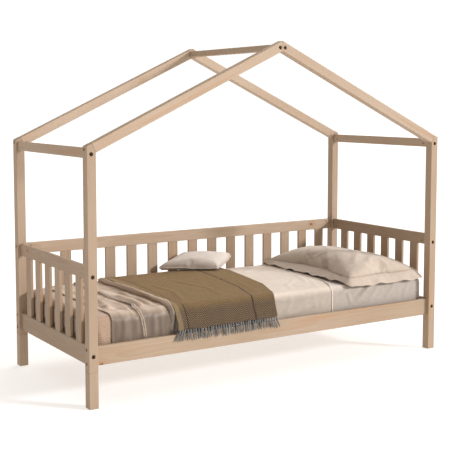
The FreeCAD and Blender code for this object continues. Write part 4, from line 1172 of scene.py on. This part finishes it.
# head that has lain on it: a shallow hollow, and folds that run in from the edges
U2, V2 = flat0[:, 0] / 0.226, flat0[:, 1] / 0.378
topside = smooth(B[:, 2], 0.0, 0.03)
B[:, 2] += topside * (0.006 * (1 - U2) * (1 - V2 ** 2) * 0.6 - 0.010 * np.exp(-((U2 - 0.35) / 0.45) ** 2 - ((V2 - 0.1) / 0.5) ** 2))
for pts, hgt, wid in (([(-0.15, -0.30, 0), (-0.02, -0.18, 0), (0.06, 0.0, 0)], 0.0045, 0.018), ([(-0.19, -0.10, 0), (-0.06, 0.02, 0), (0.02, 0.16, 0)], 0.0040, 0.016),
                      ([(0.19, -0.28, 0), (0.05, -0.24, 0), (-0.06, -0.30, 0)], 0.0040, 0.015), ([(-0.18, 0.22, 0), (-0.04, 0.24, 0), (0.06, 0.32, 0)], 0.0035, 0.016)):
    flatp = B.copy()
    flatp[:, 2] = 0
    B[:, 2] += topside * crease(flatp, pts, hgt, wid)
B3 = B.copy()
for k in range(40):
    a = RNG.uniform(0, 2 * math.pi)
    ca, sa = math.cos(a), math.sin(a)
    q = 1 / max(abs(ca), abs(sa))
    x, y = 0.214 * ca * q, 0.362 * sa * q
    ln = RNG.uniform(0.08, 0.24)
    p0, p1 = (x, y, 0), (x * (1 - ln), y * (1 - ln) + RNG.uniform(-0.03, 0.03), 0)
    flatp = B3.copy()
    flatp[:, 2] = 0
    B[:, 2] += topside * crease(flatp, [p0, p1], RNG.uniform(0.0015, 0.0032), RNG.uniform(0.007, 0.012))
seam = B[LOOP].copy()
fl0 = flat0[LOOP]
out = np.zeros_like(seam)
out[:, 0] = np.where(np.abs(np.abs(fl0[:, 0]) - np.abs(fl0[:, 0]).max()) < 0.012, np.sign(fl0[:, 0]), 0)
out[:, 1] = np.where(np.abs(np.abs(fl0[:, 1]) - np.abs(fl0[:, 1]).max()) < 0.012, np.sign(fl0[:, 1]), 0)
arcs = np.arange(len(LOOP)) * 0.0115
wave = 0.0045 * np.sin(arcs * 2 * math.pi / 0.145) + 0.003 * np.sin(arcs * 2 * math.pi / 0.083 + 1.0) + 0.004 * (vnoise(arcs * 9, 0 * arcs, 4) - 0.5)
target = seam.copy()
target[:, 0] = np.where(out[:, 0] != 0, out[:, 0] * 0.2640, seam[:, 0] * 1.02)
target[:, 1] = np.where(out[:, 1] != 0, out[:, 1] * 0.4110, seam[:, 1] * 1.01)
rows = []
for t in (-0.14, 0.0, 0.12, 0.3, 0.5, 0.7, 0.9, 1.0):
    r = seam + (target - seam) * t
    r[:, 2] = seam[:, 2] * (1 - max(t, 0)) + 0.8 * (wave + 0.004) * max(t, 0) ** 1.2 - 0.0245 * max(t, 0) ** 1.25
    rows.append(r)
FV, FF = loft(rows, len(rows))
FV = np.array(FV)
n = len(LOOP)
fuv = [(arcs[k], i / 7.0) for i in range(8) for k in range(n)]


def place_pillow(A):
    A = A.copy()
    A += np.array([0.722, -0.010, 0.400 + z_mid])
    # the front edge hangs over the side of the bed
    over = np.clip(-0.385 - A[:, 1], 0, None)
    A[:, 2] -= 0.55 * over * smooth(A[:, 2], 0.52, 0.44)
    return A


pillow = add("pillow_pad", place_pillow(B), PF, M_PILLOW)
subdivide(pillow)
flange = add("pillow_flange", place_pillow(FV), FF, M_PILLOW, fuv)
solidify(flange, 0.0026, 0.0)
subdivide(flange)
flange.parent = pillow
# seam line where the flange is stitched
sl = place_pillow(seam + (target - seam) * 0.10 + np.array([0, 0, 0.0022]))
sl = np.vstack([sl, sl[:1]])
V, F, U = tube(sl, 0.0011, 6)
stitch = add("pillow_seam", V, F, M_PILLOW, U)
stitch.parent = pillow
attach(pillow, "pillow_body")
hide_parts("pillow")

# small cushion that leans on the guard
CV, CF, LOOPC = panels(0.330, 0.260, 0.0085)
flatc = np.array(CV)
C = inflate("cushion_sim", CV, CF, 16, 4.0)
print("cushion raw", C.min(0), C.max(0))
half = (C.max(0) - C.min(0)) / 2
CU, CW, CH = C[:, 0] / half[0], C[:, 1] / half[1], C[:, 2] * (0.049 / half[2])
CH = np.where(CH < 0, -0.049 * np.clip(-CH / 0.049, 0, 1) ** 0.55, CH)
# where its four corners lie: left, front, right, and the one against the guard
QL, QF = np.array([-0.238, 0.392, 0.442]), np.array([0.058, 0.235, 0.439])
QR, QB = np.array([0.205, 0.330, 0.482]), np.array([-0.075, 0.416, 0.507])


def seat(u, w, h):
    """From cushion coordinates (-1..1, -1..1, metres) to the row frame."""
    s, t = (u[:, None] + 1) / 2, (w[:, None] + 1) / 2
    P0 = QL * (1 - s) * (1 - t) + QF * s * (1 - t) + QR * s * t + QB * (1 - s) * t
    du = (QF - QL) * (1 - t) + (QR - QB) * t
    dw = (QB - QL) * (1 - s) + (QR - QF) * s
    n = np.cross(du, dw)
    n /= np.linalg.norm(n, axis=1, keepdims=True)
    out = P0 + n * h[:, None]
    out[:, 2] = np.maximum(out[:, 2], 0.4262)
    return out


cushion = add("cushion_pad", seat(CU, CW, CH), CF, M_CUSHION)
subdivide(cushion)
sl = seat(CU[LOOPC], CW[LOOPC], CH[LOOPC])
ctr = sl.mean(0)
sl = sl + (sl - ctr) / np.linalg.norm(sl - ctr, axis=1, keepdims=True) * 0.0012
sl = np.vstack([sl, sl[:1]])
V, F, U = tube(sl, 0.0024, 8)
piping = add("cushion_piping", V, F, M_CUSHION, U)
piping.parent = cushion
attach(cushion, "cushion_body")
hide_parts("cushion")

# ------------------------------------------------------------ stage and light
bpy.ops.mesh.primitive_plane_add(size=60, location=(0, 0, -0.0002))
floor = bpy.context.object
floor.name = "studio_floor"
g = Graph("studio_floor")
fn = g.noise(g.obj(), 3.0, 2.0)
g.set(Base_Color=g.mix(fn, (0.46, 0.46, 0.46, 1), (0.49, 0.49, 0.49, 1)), Roughness=0.9)
g.bsdf.inputs["Emission Color"].default_value = (1.0, 0.955, 0.91, 1)
g.bsdf.inputs["Emission Strength"].default_value = 0.66
g.bsdf.inputs["Specular IOR Level"].default_value = 0.1
floor.data.materials.append(g.mat)

world = bpy.data.worlds.new("studio")
SC.world = world
world.use_nodes = True
wt = world.node_tree
bg = wt.nodes["Background"]
wc = wt.nodes.new("ShaderNodeTexCoord")
wz = wt.nodes.new("ShaderNodeSeparateXYZ")
wt.links.new(wc.outputs["Generated"], wz.inputs[0])
wr = wt.nodes.new("ShaderNodeMapRange")
wr.interpolation_type = "SMOOTHSTEP"
wr.inputs["From Min"].default_value = 0.11
wr.inputs["From Max"].default_value = 0.26
wr.inputs["To Min"].default_value = 1.06
wr.inputs["To Max"].default_value = 0.20
wt.links.new(wz.outputs[2], wr.inputs["Value"])
wu = wt.nodes.new("ShaderNodeMapRange")
wu.interpolation_type = "SMOOTHSTEP"
wu.inputs["From Min"].default_value = 0.62
wu.inputs["From Max"].default_value = 0.90
wu.inputs["To Min"].default_value = 0.0
wu.inputs["To Max"].default_value = 0.80
wt.links.new(wz.outputs[2], wu.inputs["Value"])
wa = wt.nodes.new("ShaderNodeMath")
wa.operation = "ADD"
wt.links.new(wr.outputs["Result"], wa.inputs[0])
wt.links.new(wu.outputs["Result"], wa.inputs[1])
wt.links.new(wa.outputs[0], bg.inputs[1])
bg.inputs[0].default_value = (1.0, 0.98, 0.96, 1)

key = bpy.data.lights.new("key", "SUN")
key.energy = 3.0
key.angle = math.radians(8)
key.color = (1.0, 1.0, 1.03)
ko = bpy.data.objects.new("key", key)
COL.objects.link(ko)
ko.rotation_mode = "QUATERNION"
ko.rotation_quaternion = Vector((0.634, -0.67, 0.385)).to_track_quat("Z", "Y")

fill = bpy.data.lights.new("fill", "SUN")
fill.energy = 1.65
fill.angle = math.radians(60)
fo = bpy.data.objects.new("fill", fill)
COL.objects.link(fo)
fo.rotation_mode = "QUATERNION"
fo.rotation_quaternion = Vector((0.70, 0.35, 0.62)).to_track_quat("Z", "Y")

cam = bpy.data.cameras.new("camera")
cam.sensor_width = 36.0
cam.lens = 78.49
cam.shift_y = -0.08
cam.clip_end = 200.0
co = bpy.data.objects.new("camera", cam)
COL.objects.link(co)
co.location = (-2.7980, -4.3557, 1.3606)
co.rotation_euler = (math.radians(90 - 5.08), 0.0, math.radians(-32.28))
SC.camera = co
SC.view_settings.view_transform = "Standard"
